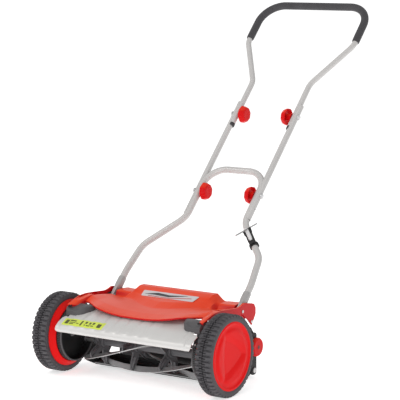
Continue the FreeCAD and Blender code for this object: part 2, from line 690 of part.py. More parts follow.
def on_handle(item):
    """Lays a piece drawn with Y up the slope and Z square to it on the handle's plane."""
    item.Placement = FreeCAD.Placement(V(0, 0, 0), FreeCAD.Rotation(V(1, 0, 0), 45))
    item.setExpression("Placement.Rotation.Angle", linked("handleAngle"))
    item.setExpression("Placement.Base.y", linked("pinY"))
    item.setExpression("Placement.Base.z", linked("pinZ"))
    return item


def bent_path(name, points, radii):
    """Straight runs joined by arcs; radii belong to the inner points."""
    points = [V(*point) for point in points]
    edges = []
    start = points[0]
    for before, corner, after, radius in zip(points, points[1:], points[2:], radii):
        back = (before - corner).normalize()
        on = (after - corner).normalize()
        half = back.getAngle(on) / 2
        reach = radius / math.tan(half)
        first, last = corner + back * reach, corner + on * reach
        middle = corner + (back + on).normalize() * (radius / math.sin(half) - radius)
        edges += [Part.LineSegment(start, first).toShape(), Part.Arc(first, middle, last).toShape()]
        start = last
    edges.append(Part.LineSegment(start, points[-1]).toShape())
    return solid(name, Part.Wire(edges))


def tube(name, path, radius):
    """A solid bar of round section swept along a path that starts along Y."""
    ring = doc.addObject("Part::Circle", name + "_section")
    bind(ring, Radius=radius)
    start = path.Shape.OrderedVertexes[0].Point
    ring.Placement = FreeCAD.Placement(start, FreeCAD.Rotation(V(1, 0, 0), -90))
    bar = doc.addObject("Part::Sweep", name)
    bar.Sections = [ring]
    bar.Spine = (path, [f"Edge{n + 1}" for n in range(len(path.Shape.Edges))])
    bar.Solid = True
    return bar


def mirror_path(right):
    return right + [(-x, y, z) for x, y, z in reversed(right)]


lower_points = mirror_path([
    (size("legHalf"), size("flatTo") - 4, 0), (size("legHalf"), 90, 0),
    (size("legWaist"), size("waistAt"), 0), (size("neckHalf"), size("neckAt"), 0),
    (size("neckHalf"), size("archAt"), 0)])
bend = size("bendRadius")
lower_path = bent_path("lower_path", lower_points, [bend * 3, bend, bend, bend, bend, bend, bend, bend * 3])
upper_points = mirror_path([
    (size("neckHalf"), size("upperFrom"), 0), (size("neckHalf"), size("shoulderAt"), 0),
    (size("gripHalf"), size("gripFrom"), 0), (size("gripHalf"), size("cornerAt"), 0)])
corner = size("cornerRadius")
upper_path = bent_path("upper_path", upper_points, [bend, bend, corner, corner, bend, bend])
grip_points = mirror_path([
    (size("gripHalf"), size("gripFrom") + size("gripLap"), 0), (size("gripHalf"), size("cornerAt"), 0)])
grip_path = bent_path("grip_path", grip_points, [corner, corner])


def across(name, radius, length, x, s):
    """A cylinder along X in the handle's own plane, at s up the slope."""
    return cylinder(name, radius, length, x, s, 0)


def lower_handle(label):
    bore = tube(label + "_bore", lower_path, "lowerTube - tubeWall")
    hollow = cut(label + "_tube", tube(label + "_outer", lower_path, "lowerTube"), bore)
    pieces, holes = [hollow], []
    for side, sign in (("right", 1), ("left", -1)):
        x = "legHalf - legFlat / 2" if sign > 0 else "-legHalf - legFlat / 2"
        pieces.append(box(f"{label}_flat_{side}", "legFlat", "flatTo", "legWidth", x, 0, "-legWidth / 2"))
        pieces.append(cylinder(f"{label}_eye_{side}", "legWidth / 2", "legFlat", x, 0, 0))
        holes.append(across(f"{label}_pin_{side}", "pinRadius + runningGap", 20,
                            "legHalf - 10" if sign > 0 else "-legHalf - 10", 0))
        holes.append(across(f"{label}_bolt_{side}", "clampBolt", 40,
                            "neckHalf - 20" if sign > 0 else "-neckHalf - 20", "lowerBoltAt"))
    return on_handle(cut(label, fuse(label + "_body", *pieces), *holes))


def upper_handle(label):
    bore = tube(label + "_bore", upper_path, "upperTube - tubeWall")
    holes = [across(f"{label}_bolt_{side}", "clampBolt", 40, f"{sign}neckHalf - 20", "upperBoltAt")
             for side, sign in (("right", ""), ("left", "-"))]
    return on_handle(cut(label, tube(label + "_outer", upper_path, "upperTube"), bore, *holes))


def foam_grip(label):
    core = tube(label + "_core", upper_path, "upperTube")
    return on_handle(cut(label, tube(label + "_sleeve", grip_path, "upperTube + gripWall"), core))


def middle_tube(label):
    """A straight tube whose ends are pressed into saddles round the other two tubes."""
    up = FreeCAD.Rotation(V(1, 0, 0), -90)
    bar = cylinder(label + "_bar", "middleTube", "middleTo - middleFrom", "middleHalf", "middleFrom", 0, up)
    bore = cylinder(label + "_bore", "middleTube - tubeWall", "upperBoltAt - lowerBoltAt - 90",
                    "middleHalf", "lowerBoltAt + 50", 0, up)
    bolts = [across(f"{label}_hole_{name}", "clampBolt", 40, "middleHalf - 20", at)
             for name, at in (("low", "lowerBoltAt"), ("high", "upperBoltAt"))]
    saddles = [tube(label + "_low_saddle", lower_path, "lowerTube + saddleGap"),
               tube(label + "_high_saddle", upper_path, "upperTube + saddleGap"),
               cylinder(label + "_plug_way", "upperTube + saddleGap", 12, "neckHalf", "upperFrom - 8", 0, up)]
    return on_handle(cut(label, bar, bore, *bolts, *saddles))


def end_plugs(label):
    """Plugs in the two open ends of the upper handle."""
    down = FreeCAD.Rotation(V(1, 0, 0), 90)
    plugs = []
    for side, sign in (("right", ""), ("left", "-")):
        x = f"{sign}neckHalf"
        cap = cylinder(f"{label}_cap_{side}", "upperTube", 4, x, "upperFrom", 0, down)
        stem = cylinder(f"{label}_stem_{side}", "upperTube - tubeWall", 14, x, "upperFrom + 12", 0, down)
        plugs.append(fuse(f"{label}_{side}", cap, stem))
    return on_handle(group(label, *plugs))


def clamp_bolts(label):
    """Four bolts with domed heads outside the middle tubes."""
    bolts = []
    reach = "(middleHalf + middleTube)"
    for side, sign in (("right", 1), ("left", -1)):
        for at in ("lowerBoltAt", "upperBoltAt"):
            name = f"{label}_{len(bolts)}"
            x = f"{reach} - 44" if sign > 0 else f"-{reach}"
            head_x = reach if sign > 0 else f"-{reach} - 3"
            bolts.append(fuse(name, across(name + "_shank", "clampBolt", 44, x, at),
                              across(name + "_head", "2.3 * clampBolt", 3, head_x, at)))
    return on_handle(group(label, *bolts))


def clamp_knob(label, at, face):
    """A tapered hand knob with a neck, bored for its bolt."""
    return turned(label, [
        ("-knobDepth - 6", "clampBolt + runningGap"), ("-knobDepth - 6", "knobRadius - 5"),
        (-6, "knobRadius"), (-4, "knobRadius - 1"), (-4, 9), (0, 9), (0, "clampBolt + runningGap")],
        x=face, y=f"pinY + {at} * cos(handleAngle)", z=f"pinZ + {at} * sin(handleAngle)")


def handle_pins(label):
    """The two pins that the handle swings on, headed outside the webs."""
    pins = []
    for side, sign in (("right", 1), ("left", -1)):
        name = f"{label}_{side}"
        inner = "(legHalf - legFlat / 2 - 3)"
        length = f"({webOuter} - {inner})"
        pin = cylinder(name + "_pin", "pinRadius", length, inner if sign > 0 else f"-{webOuter}", "pinY", "pinZ")
        head = cylinder(name + "_head", "pinRadius + 3", 2.6,
                        f"{inner} - 2.6" if sign > 0 else f"-{inner}", "pinY", "pinZ")
        pins.append(fuse(name, pin, head))
    return group(label, *pins)


# roller

armFace = f"({webOuter} + armGap)"


def roller_arm(label):
    """A slotted upright outside the web: the adjuster's bolt passes through its slot."""
    plate = pad(label + "_plate", [
        ("rollerY - armWidth / 2", "rollerRadius - 12"), ("rollerY + armWidth / 2", "rollerRadius - 12"),
        ("rollerY + armWidth / 2", "armTop"), ("rollerY - armWidth / 2", "armTop")],
        "armThickness", x=armFace, corner=9)
    slot = box(label + "_slot", "armThickness + 2", "2 * adjusterBolt + 0.6",
               "heightTravel + 2 * adjusterBolt + 0.6", f"{armFace} - 1",
               "rollerY - adjusterBolt - 0.3", "adjusterZ - adjusterBolt - 0.3")
    hole = cylinder(label + "_hole", "rollerAxle - 1", "armThickness + 2", f"{armFace} - 1",
                    "rollerY", "rollerRadius")
    return cut(label, plate, slot, hole)


def roller_axle(label):
    """A rod between the arms, shouldered, its ends headed outside them."""
    bar = cylinder(label + "_bar", "rollerAxle", f"2 * {armFace}", f"-{armFace}", "rollerY", "rollerRadius")
    ends = cylinder(label + "_ends", "rollerAxle - 1", f"2 * ({armFace} + armThickness)",
                    f"-({armFace} + armThickness)", "rollerY", "rollerRadius")
    heads = [cylinder(f"{label}_head_{side}", 7, 3, x, "rollerY", "rollerRadius")
             for side, x in (("right", f"{armFace} + armThickness"),
                             ("left", f"-({armFace} + armThickness) - 3"))]
    return fuse(label, bar, ends, *heads)


def rear_roller(label):
    return turned(label, [
        ("-rollerHalf", "rollerAxle + runningGap"), ("-rollerHalf", "rollerRadius - 1.5"),
        ("1.5 - rollerHalf", "rollerRadius"), ("rollerHalf - 1.5", "rollerRadius"),
        ("rollerHalf", "rollerRadius - 1.5"), ("rollerHalf", "rollerAxle + runningGap")],
        y="rollerY", z="rollerRadius")


def adjuster_bolts(label):
    bolts = []
    for side, sign in (("right", 1), ("left", -1)):
        name = f"{label}_{side}"
        length = "(webThickness + armGap + armThickness + adjusterDepth)"
        shank = cylinder(name + "_shank", "adjusterBolt - 1" , length,
                         "webInner" if sign > 0 else f"-webInner - {length}", "rollerY", "adjusterZ")
        collar = cylinder(name + "_collar", "adjusterBolt", "webThickness",
                          "webInner" if sign > 0 else f"-{webOuter}", "rollerY", "adjusterZ")
        head = cylinder(name + "_head", "adjusterBolt + 4", 3,
                        "webInner - 3" if sign > 0 else "-webInner", "rollerY", "adjusterZ")
        bolts.append(fuse(name, shank, collar, head))
    return group(label, *bolts)


def adjuster_knob(label):
    face = f"({armFace} + armThickness + armGap)"
    return turned(label, [
        (0, "adjusterBolt - 1 + runningGap"), (0, "adjusterKnob - 3"), (3, "adjusterKnob"),
        ("adjusterDepth - 3", "adjusterKnob"), ("adjusterDepth", "adjusterKnob - 4"),
        ("adjusterDepth", "adjusterBolt - 1 + runningGap")], x=face, y="rollerY", z="adjusterZ")


# catcher clip

def clip_frame():
    """Origin and direction of the run between the two lower bends of the right-hand leg."""
    low = V(size("legWaist"), size("waistAt"), 0)
    high = V(size("neckHalf"), size("neckAt"), 0)
    along = (high - low).normalize()
    return low, along, FreeCAD.Rotation(V(0, 1, 0), along)


def catcher_clip(label):
    """A C-shaped grip round the leg, with two arms that run up beside it."""
    low, along, turn = clip_frame()
    outer_radius = size("lowerTube") + size("clipWall")
    grip = Part.makeCylinder(outer_radius, size("clipWidth"))
    grip = grip.cut(Part.makeCylinder(size("lowerTube"), size("clipWidth")))
    mouth = Part.makeBox(40, 12, size("clipWidth"), V(-20, 8, 0))
    grip = grip.cut(mouth)
    grip.rotate(V(0, 0, 0), V(1, 0, 0), -90)
    arms = [Part.makeBox(3.5, 62, 8, V(x, 0, outer_radius - 3)) for x in (-9, 5.5)]
    web = Part.makeBox(18, size("clipWidth"), 6, V(-9, 0, outer_radius - 3))
    shape = grip.fuse([web] + arms).removeSplitter()
    shape.Placement = FreeCAD.Placement(low + along * size("clipAt"), turn).multiply(shape.Placement)
    return on_handle(solid(label, Part.makeCompound([shape]).cut(catcher_rod_shape())))


def catcher_strap(label):
    low, along, turn = clip_frame()
    outer_radius = size("lowerTube") + size("clipWall")
    strap = Part.makeBox(11, 50, 6, V(-5.5, size("clipWidth"), outer_radius - 2))
    strap.Placement = FreeCAD.Placement(low + along * size("clipAt"), turn)
    return on_handle(solid(label, strap.cut(catcher_rod_shape())))


def catcher_rod_shape():
    low, along, turn = clip_frame()
    outer_radius = size("lowerTube") + size("clipWall")
    centre = low + along * 98 + V(0, 0, outer_radius + 5.5)
    lean = math.radians(size("handleAngle") - 10)
    way = V(0, math.cos(lean), -math.sin(lean))
    start = centre - way * (size("hookLength") / 2)
    return Part.makeCylinder(size("hookRadius"), size("hookLength"), start, way)


def catcher_rod(label):
    return on_handle(solid(label, catcher_rod_shape()))


# the assembly

for label, make in (("tyre", tyre), ("rim", rim), ("wheel_cap", wheel_cap), ("wheel_bush", wheel_bush),
                    ("axle", axle), ("retaining_ring", retaining_ring), ("ring_gear", ring_gear),
                    ("pinion", pinion), ("side_plate", side_plate), ("reel_bearing", reel_bearing),
                    ("end_clamp", end_clamp), ("middle_tube", middle_tube), ("roller_arm", roller_arm),
                    ("adjuster_knob", adjuster_knob)):
    both(label, make)

for height, at, inside in (("lower", "lowerBoltAt", "lowerTube"), ("upper", "upperBoltAt", "upperTube")):
    both(f"{height}_knob", lambda label, at=at, inside=inside:
         clamp_knob(label, at, f"neckHalf - {inside}"))

for label, make in (("reel_shaft", reel_shaft), ("drive_pawls", drive_pawls),
                    ("reel_blades", reel_blades), ("reel_spiders", reel_spiders), ("bed_knife", bed_knife),
                    ("knife_carrier", knife_carrier), ("knife_bolts", knife_bolts),
                    ("tie_rod", tie_rod), ("tie_rod_nuts", tie_rod_nuts), ("deflector", deflector),
                    ("deflector_screws", deflector_screws), ("top_cover", top_cover),
                    ("cover_screws", cover_screws), ("label_plate", label_plate),
                    ("lower_handle", lower_handle), ("handle_pins", handle_pins),
                    ("upper_handle", upper_handle), ("foam_grip", foam_grip), ("end_plugs", end_plugs),
                    ("clamp_bolts", clamp_bolts), ("roller_axle", roller_axle),
                    ("rear_roller", rear_roller), ("adjuster_bolts", adjuster_bolts),
                    ("catcher_clip", catcher_clip), ("catcher_strap", catcher_strap),
                    ("catcher_rod", catcher_rod)):
    node(label, make(label))

doc.recompute()
for item in doc.Objects:
    if "Invalid" in item.State or "Error" in item.State:
        raise RuntimeError(f"{item.Label} failed: {item.State}")
os.makedirs("parts", exist_ok=True)
for label, item in nodes.items():
    shape = item.Shape
    if shape.isNull() or not shape.isValid() or not shape.Solids:
        raise RuntimeError(f"{label} has no valid solid")
    shape.exportStep(f"parts/{label}.step")
    print(label, len(shape.Solids), round(shape.Volume / 1000, 2), "cm3")
print(len(nodes), "nodes")
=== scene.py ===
import bmesh, bpy, json, math
from mathutils import Matrix, Vector


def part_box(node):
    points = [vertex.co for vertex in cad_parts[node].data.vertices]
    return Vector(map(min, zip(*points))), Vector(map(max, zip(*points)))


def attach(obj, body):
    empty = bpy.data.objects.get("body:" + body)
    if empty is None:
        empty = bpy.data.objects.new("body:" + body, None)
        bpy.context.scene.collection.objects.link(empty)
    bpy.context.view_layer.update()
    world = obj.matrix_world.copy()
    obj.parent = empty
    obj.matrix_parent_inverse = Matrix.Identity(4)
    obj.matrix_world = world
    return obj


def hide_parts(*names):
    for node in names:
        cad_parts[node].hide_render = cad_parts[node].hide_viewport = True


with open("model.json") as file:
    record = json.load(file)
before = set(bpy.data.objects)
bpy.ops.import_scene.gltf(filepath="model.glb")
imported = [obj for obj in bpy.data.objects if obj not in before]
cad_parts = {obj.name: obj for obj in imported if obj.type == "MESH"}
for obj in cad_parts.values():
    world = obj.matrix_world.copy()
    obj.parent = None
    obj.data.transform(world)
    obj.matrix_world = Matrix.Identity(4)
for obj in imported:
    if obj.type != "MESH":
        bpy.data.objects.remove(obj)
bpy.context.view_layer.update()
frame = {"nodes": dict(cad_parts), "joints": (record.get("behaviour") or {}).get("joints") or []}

nodes = frame["nodes"]
joints = {joint["name"]: joint for joint in frame["joints"]}
tau = 2 * math.pi
sides = (("right", 1), ("left", -1))
print("frame loaded:", len(nodes), "nodes")


# lengths below are in millimetres; addMesh turns them into metres
def nodeBox(name):
    low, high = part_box(name)
    return Vector(low) * 1000, Vector(high) * 1000


def jointPlace(name):
    return Vector(joints[name]["pos_m"]) * 1000


def mix(a, b, t):
    return a + (b - a) * t


def smooth(t, start=0.0, end=1.0):
    t = min(1, max(0, (t - start) / (end - start)))
    return t * t * (3 - 2 * t)


# reads a table of (place, values...) rows at any place between them
def between(table, place):
    if place <= table[0][0]:
        return table[0][1:]
    for before, after in zip(table, table[1:]):
        if place <= after[0]:
            t = (place - before[0]) / (after[0] - before[0])
            return tuple(mix(a, b, t) for a, b in zip(before[1:], after[1:]))
    return table[-1][1:]


# places that several pieces share
tyreLow, tyreHigh = nodeBox("tyre_right")
wheelRadius = (tyreHigh.z - tyreLow.z) / 2
axle = Vector((0, 0, tyreLow.z + wheelRadius))
reelCentre = jointPlace("reel_spin")
pin = jointPlace("handle_swing")
knobPlace = jointPlace("lower_knob_right_turn")
slope = math.atan2(knobPlace.z - pin.z, knobPlace.y - pin.y)


# a point of the handle's plane: s up the slope, n square to it
def onHandle(x, s, n=0.0):
    return Vector((x, pin.y + s * math.cos(slope) - n * math.sin(slope),
                   pin.z + s * math.sin(slope) + n * math.cos(slope)))


# materials

class Sock:  # wraps a socket, so that shader maths reads as arithmetic
    def __init__(self, shader, socket):
        self.shader, self.socket = shader, socket

    def maths(self, operation, first, second):
        return self.shader.add("ShaderNodeMath", {"operation": operation}, {0: first, 1: second})

    def __add__(self, other):
        return self.maths("ADD", self, other)

    def __sub__(self, other):
        return self.maths("SUBTRACT", self, other)

    def __rsub__(self, other):
        return self.maths("SUBTRACT", other, self)

    def __mul__(self, other):
        return self.maths("MULTIPLY", self, other)

    def __truediv__(self, other):
        return self.maths("DIVIDE", self, other)

    def __pow__(self, other):
        return self.maths("POWER", self, other)

    def __gt__(self, other):
        return self.maths("GREATER_THAN", self, other)

    __radd__, __rmul__ = __add__, __mul__


class Shader:
    def __init__(self, name, **uniform):
        self.material = bpy.data.materials.new(name)
        self.material.use_nodes = True
        self.tree = self.material.node_tree
        self.surface = self.tree.nodes["Principled BSDF"]
        for socket, value in uniform.items():
            self.surface.inputs[socket.replace("_", " ")].default_value = value

    # any node: its type, its settings, then the values or links of its sockets
    def add(self, kind, settings=None, inputs=None, output=0):
        made = self.tree.nodes.new(kind)
        for key, value in (settings or {}).items():
            setattr(made, key, value)
        for key, value in (inputs or {}).items():
            self.feed(made.inputs[key], value)
        return Sock(self, made.outputs[output])

    def feed(self, socket, value):
        if isinstance(value, Sock):
            self.tree.links.new(value.socket, socket)
        elif isinstance(value, tuple) and len(value) == 3 and socket.type == "RGBA":
            socket.default_value = (*value, 1)
        else:
            socket.default_value = value

    def place(self, stretch):
        return self.add("ShaderNodeMapping", {}, {
            "Vector": self.add("ShaderNodeTexCoord", output="Object"), "Scale": stretch})

    def noise(self, scale, detail=3.0, roughness=0.55, stretch=(1, 1, 1)):
        return self.add("ShaderNodeTexNoise", {}, {"Vector": self.place(stretch), "Scale": scale,
                        "Detail": detail, "Roughness": roughness}, "Fac")

    def cells(self, scale, stretch=(1, 1, 1)):
        return self.add("ShaderNodeTexVoronoi", {}, {"Vector": self.place(stretch), "Scale": scale},
                        "Distance")

    def fade(self, value, low, high):
        return self.add("ShaderNodeMapRange", {"interpolation_type": "SMOOTHSTEP"},
                        {"Value": value, "From Min": low, "From Max": high}, "Result")

    def tint(self, factor, first, second):
        return self.add("ShaderNodeMix", {"data_type": "RGBA"}, {0: factor, 6: first, 7: second}, 2)

    def facing(self, axis):
        return self.add("ShaderNodeSeparateXYZ", {}, {
            0: self.add("ShaderNodeNewGeometry", output="Normal")}, axis)

    def paint(self, **sockets):
        for name, value in sockets.items():
            self.feed(self.surface.inputs[name.replace("_", " ")], value)

    def bump(self, *layers):
        normal = None
        for height, strength, distance in layers:
            inputs = {"Height": height, "Strength": strength, "Distance": distance}
            if normal:
                inputs["Normal"] = normal
            normal = self.add("ShaderNodeBump", {}, inputs, "Normal")
        self.feed(self.surface.inputs["Normal"], normal)
        return self.material


def shaded(tone, by):
    return tuple(part * by for part in tone)


def makeRubber(name, dark, light):
    s = Shader(name, Specular_IOR_Level=0.35)
    broad, fine = s.noise(18, 4), s.noise(420, 2)
    dust = s.fade(s.noise(65, 5, 0.7), 0.52, 0.72)
    s.paint(Base_Color=s.tint(dust * 0.22, s.tint(broad, dark, light), (0.16, 0.155, 0.16)),
            Roughness=0.50 + fine * 0.16 + dust * 0.12)
    return s.bump((fine, 0.35, 0.0003), (s.noise(130, 4), 0.25, 0.0006))


def makeRed(name, litTopRed, shadedSideRed, rough=0.30, shine=0.08):
    s = Shader(name, Specular_IOR_Level=shine, Coat_Roughness=0.15)
    cloud = s.noise(9, 3)
    scuff = s.fade(s.noise(26, 6, 0.72, (1, 3, 1)), 0.60, 0.74)
    # the colour runs from the second, darker red on side faces to the first, lighter red on upward faces:
    # painted light and shade by which way a face points
    tone = s.tint(s.fade(s.facing("Z"), 0.25, 0.92), shadedSideRed, litTopRed)
    tone = s.tint(s.fade(cloud, 0.35, 0.75) * 0.15, tone, shaded(litTopRed, 0.8))
    s.paint(Base_Color=s.tint(scuff * 0.05, tone, (0.85, 0.25, 0.17)),
            Roughness=rough + cloud * 0.08 + scuff * 0.16, Coat_Weight=0.05 - scuff * 0.05)
    return s.bump((s.noise(900, 2), 0.10, 0.00015), (s.noise(55, 2), 0.05, 0.001))


def makeMoulding(name, dark, light, rough=0.5, grain=700):
    s = Shader(name, Specular_IOR_Level=0.4)
    fine, cloud = s.cells(grain), s.noise(14, 4)
    s.paint(Base_Color=s.tint(cloud, dark, light), Roughness=rough + fine * 0.15)
    return s.bump((fine, 0.30, 0.00025), (s.noise(60, 3), 0.08, 0.0008))


def makeEnamel(name, tone, rough=0.32, metal=0.0, flake=2600):
    s = Shader(name, Specular_IOR_Level=0.5)
    grain, cloud = s.noise(flake, 2), s.noise(7, 3)
    wear = s.fade(s.noise(34, 6, 0.75), 0.66, 0.76)
    base = s.tint(s.fade(cloud, 0.3, 0.75), shaded(tone, 0.93), tone)
    s.paint(Base_Color=s.tint(wear * 0.08, base, shaded(tone, 0.6)),
            Roughness=rough + grain * 0.08 + wear * 0.1, Metallic=metal + wear * 0.05)
    return s.bump((grain, 0.03, 0.00005), (s.noise(60, 3), 0.04, 0.0003))


def makeZinc():
    s = Shader("zincSteel")
    streak, spangle = s.noise(90, 4, 0.6, (1, 9, 9)), s.cells(190)
    s.paint(Base_Color=s.tint(streak, (0.42, 0.42, 0.43), (0.66, 0.66, 0.65)),
            Roughness=0.24 + spangle * 0.25, Metallic=0.9 + streak * 0.1)
    return s.bump((streak, 0.15, 0.0002))


def makeBlade():
    s = Shader("bladePaint")
    along = s.noise(60, 4, 0.6, (0.4, 5, 5))
    chips = s.fade(s.noise(75, 6, 0.8), 0.62, 0.70)
    s.paint(Base_Color=s.tint(chips * 0.5, s.tint(along, (0.24, 0.24, 0.245), (0.34, 0.34, 0.345)),
                              (0.40, 0.40, 0.41)),
            Roughness=0.34 + along * 0.2, Metallic=0.35 + chips * 0.5)
    return s.bump((along, 0.12, 0.0004), (chips, 0.2, 0.0002))


def makeFoam():
    s = Shader("gripFoam", Specular_IOR_Level=0.25, Sheen_Weight=0.12)
    pores, cloud = s.cells(850), s.noise(22, 4)
    s.paint(Base_Color=s.tint(cloud, (0.045, 0.043, 0.047), (0.080, 0.077, 0.083)),
            Roughness=0.72 + pores * 0.2)
    return s.bump((pores, 0.5, 0.0005), (s.noise(160, 4), 0.3, 0.0006))


def makeInk(name, tone, rough=0.35):
    s = Shader(name, Specular_IOR_Level=0.5)
    cloud = s.noise(60, 3)
    s.paint(Base_Color=s.tint(cloud, tone, shaded(tone, 0.88)), Roughness=rough + cloud * 0.12)
    return s.bump((s.noise(600, 2), 0.08, 0.0001))


tyreRubber = makeRubber("tyreRubber", (0.050, 0.047, 0.052), (0.085, 0.080, 0.088))
# each red gets a lighter colour for upward faces and a darker one for side faces: painted light and shade
redCover = makeRed("redCover", (0.88, 0.066, 0.018), (0.60, 0.003, 0.008), 0.34, 0.16)
redWheel = makeRed("redWheel", (0.80, 0.012, 0.008), (0.76, 0.004, 0.005), 0.38)
redKnob = makeRed("redKnob", (0.82, 0.034, 0.014), (0.66, 0.006, 0.008))
blackMoulding = makeMoulding("blackMoulding", (0.006, 0.006, 0.0065), (0.014, 0.014, 0.015))
darkMoulding = makeMoulding("darkMoulding", (0.030, 0.030, 0.032), (0.052, 0.051, 0.054), 0.45)
greyMoulding = makeMoulding("greyMoulding", (0.070, 0.067, 0.070), (0.105, 0.101, 0.106), 0.42)
reelPaint = makeMoulding("reelPaint", (0.085, 0.083, 0.088), (0.135, 0.132, 0.140), 0.34, 320)
gearNylon = makeMoulding("gearNylon", (0.10, 0.10, 0.105), (0.16, 0.16, 0.165), 0.4, 500)
paleNylon = makeMoulding("paleNylon", (0.66, 0.66, 0.67), (0.80, 0.80, 0.80), 0.35, 500)
silverSheet = makeEnamel("silverSheet", (0.69, 0.68, 0.665), 0.30, 0.10)
tubePaint = makeEnamel("tubePaint", (0.60, 0.585, 0.575), 0.26, 0.10)
# a darker grey than the tube paint, used on the flattened leg ends: painted shade on the lower legs
tubeShadedFlat = makeEnamel("tubeShadedFlat", (0.42, 0.415, 0.41), 0.40, 0.05)
zincSteel = makeZinc()
bladePaint = makeBlade()
gripFoam = makeFoam()
stickerLime = makeInk("stickerLime", (0.72, 0.84, 0.09))
stickerMark = makeInk("stickerMark", (0.09, 0.10, 0.02))
plateWhite = makeInk("plateWhite", (0.70, 0.66, 0.67), 0.28)
plateDark = makeInk("plateDark", (0.03, 0.03, 0.035), 0.30)
plateRed = makeInk("plateRed", (0.55, 0.02, 0.02), 0.30)
# a dark red laid over the height knob's bore: painted shade of the hole
boreShadeRed = makeInk("boreShadeRed", (0.14, 0.003, 0.006), 0.40)

finishes = [
    (zincSteel, "axle retaining_ring reel_shaft drive_pawls knife_bolts tie_rod tie_rod_nuts cover_screws "
                "deflector_screws handle_pins clamp_bolts roller_axle adjuster_bolts catcher_rod"),
    (gearNylon, "pinion reel_bearing wheel_bush"),
    (redWheel, "rim ring_gear wheel_cap"),
    (redKnob, "adjuster_knob lower_knob upper_knob"),
    (redCover, "top_cover"),
    (blackMoulding, "side_plate roller_arm catcher_clip rear_roller knife_carrier end_plugs"),
    (greyMoulding, "end_clamp"),
    (reelPaint, "reel_spiders"),
    (bladePaint, "reel_blades bed_knife"),
    (silverSheet, "deflector"),
    (tubePaint, "lower_handle upper_handle middle_tube"),
    (gripFoam, "foam_grip"),
    (plateWhite, "label_plate"),
    (paleNylon, "catcher_strap"),
    (tyreRubber, "tyre"),
]
for finish, names in finishes:
    for name in names.split():
        for node in (name, name + "_left", name + "_right"):
            if node in nodes:
                for slotted in nodes[node].material_slots:
                    slotted.material = finish
print("materials made")


# mesh helpers: a shape is a pair of points and faces

def addMesh(name, shape, material, body, sharp=32, instead=()):
    mesh = bpy.data.meshes.new(name)
    mesh.from_pydata([Vector(point) / 1000 for point in shape[0]], [], shape[1])
    build = bmesh.new()
    build.from_mesh(mesh)
    bmesh.ops.remove_doubles(build, verts=build.verts, dist=2e-6)
    bmesh.ops.recalc_face_normals(build, faces=build.faces)
    for edge in build.edges:
        edge.smooth = len(edge.link_faces) == 2 and edge.calc_face_angle(0) < math.radians(sharp)
    for face in build.faces:
        face.smooth = True
    build.to_mesh(mesh)
    build.free()
    mesh.materials.append(material)
    piece = bpy.data.objects.new(name, mesh)
    bpy.context.scene.collection.objects.link(piece)
    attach(piece, body)
    if instead:
        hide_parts(*instead.split())
    return piece


def merge(*shapes):
    points, faces = [], []
    for morePoints, moreFaces in shapes:
        faces += [tuple(i + len(points) for i in face) for face in moreFaces]
        points += list(morePoints)
    return points, faces


# joins rings of equal length into one surface
def skin(rings, closed=True, capped=True):
    size = len(rings[0])
    faces = []
    for r in range(len(rings) - 1):
        for i in range(size if closed else size - 1):
            j = (i + 1) % size
            faces.append((r * size + i, r * size + j, (r + 1) * size + j, (r + 1) * size + i))
    if capped:
        faces += [tuple(range(size)), tuple(range((len(rings) - 1) * size, len(rings) * size))]
    return [point for ring in rings for point in ring], faces


def polar(centre, x, radius, angle):
    return Vector((centre.x + x, centre.y + radius * math.cos(angle), centre.z + radius * math.sin(angle)))


# (x, radius) pairs turned about the X axis through centre
def turned(profile, centre, steps=120, closed=True):
    rings = [[polar(centre, x, radius, tau * step / steps) for x, radius in profile]
             for step in range(steps + 1)]
    return skin(rings, closed, False)


# rounds the inner corners of an open outline of pairs
def fillet(corners, radius, steps=4):
    out = [tuple(corners[0])]
    for before, corner, after in zip(corners, corners[1:], corners[2:]):
        a, c, b = Vector(before), Vector(corner), Vector(after)
        reach = min(radius, (a - c).length * 0.45, (b - c).length * 0.45)
        first, last = c + (a - c).normalized() * reach, c + (b - c).normalized() * reach
        out += [tuple(first * (1 - t) ** 2 + c * 2 * t * (1 - t) + last * t * t)
                for t in (step / steps for step in range(steps + 1))]
    return out + [tuple(corners[-1])]


def ringFillet(corners, radius, steps=4):
    return fillet([corners[-1], *corners, corners[0]], radius, steps)[1:-1]


# a YZ outline carried along X
def prism(outline, x0, x1):
    return skin([[Vector((x, y, z)) for y, z in outline] for x in (x0, x1)])


def flip(shape, sign):
    if sign > 0:
        return shape
    return [Vector((-p[0], p[1], p[2])) for p in shape[0]], shape[1]


def rounded(piece, width, segments=2):
    bevel = piece.modifiers.new("edges", "BEVEL")
    bevel.width, bevel.segments = width / 1000, segments
    bevel.limit_method, bevel.angle_limit = "ANGLE", math.radians(35)
    return piece


# wheels

tyre = {"lugs": 48, "crown": 105, "root": 99.8, "halfLug": 4.0, "notch": 1.7, "notchFrom": 13.5,
        "shoulder": 5, "edge": 0.8, "rowEnd": 21.2}


def tyreLug(angle, flipped):
    s = tyre
    width = tyreHigh.x - tyreLow.x
    plan = [(s["edge"], -1), (s["shoulder"], -1), (s["rowEnd"], -1), (s["rowEnd"], -s["notch"]),
            (s["notchFrom"], -s["notch"]), (s["notchFrom"], s["notch"]), (s["rowEnd"], s["notch"]),
            (s["rowEnd"], 1), (s["shoulder"], 1), (s["edge"], 1)]
    rings = []
    for base, top, spread in ((True, False, 1.42), (False, False, 1.12), (False, True, 0.84)):
        ring = []
        for x, across in plan:
            side = across * s["halfLug"] * spread if abs(across) == 1 else across / spread
            shoulderDrop = 3.4 if x == s["edge"] else 0.0
            low = s["root"] - 1 - shoulderDrop * 2
            high = s["crown"] - shoulderDrop
            radius = low if base else mix(low, high, 1.0 if top else 0.85)
            place = width - x if flipped else x
            ring.append(polar(axle, tyreLow.x + place, radius, angle + side / s["crown"]))
        rings.append(ring)
    return skin(rings)


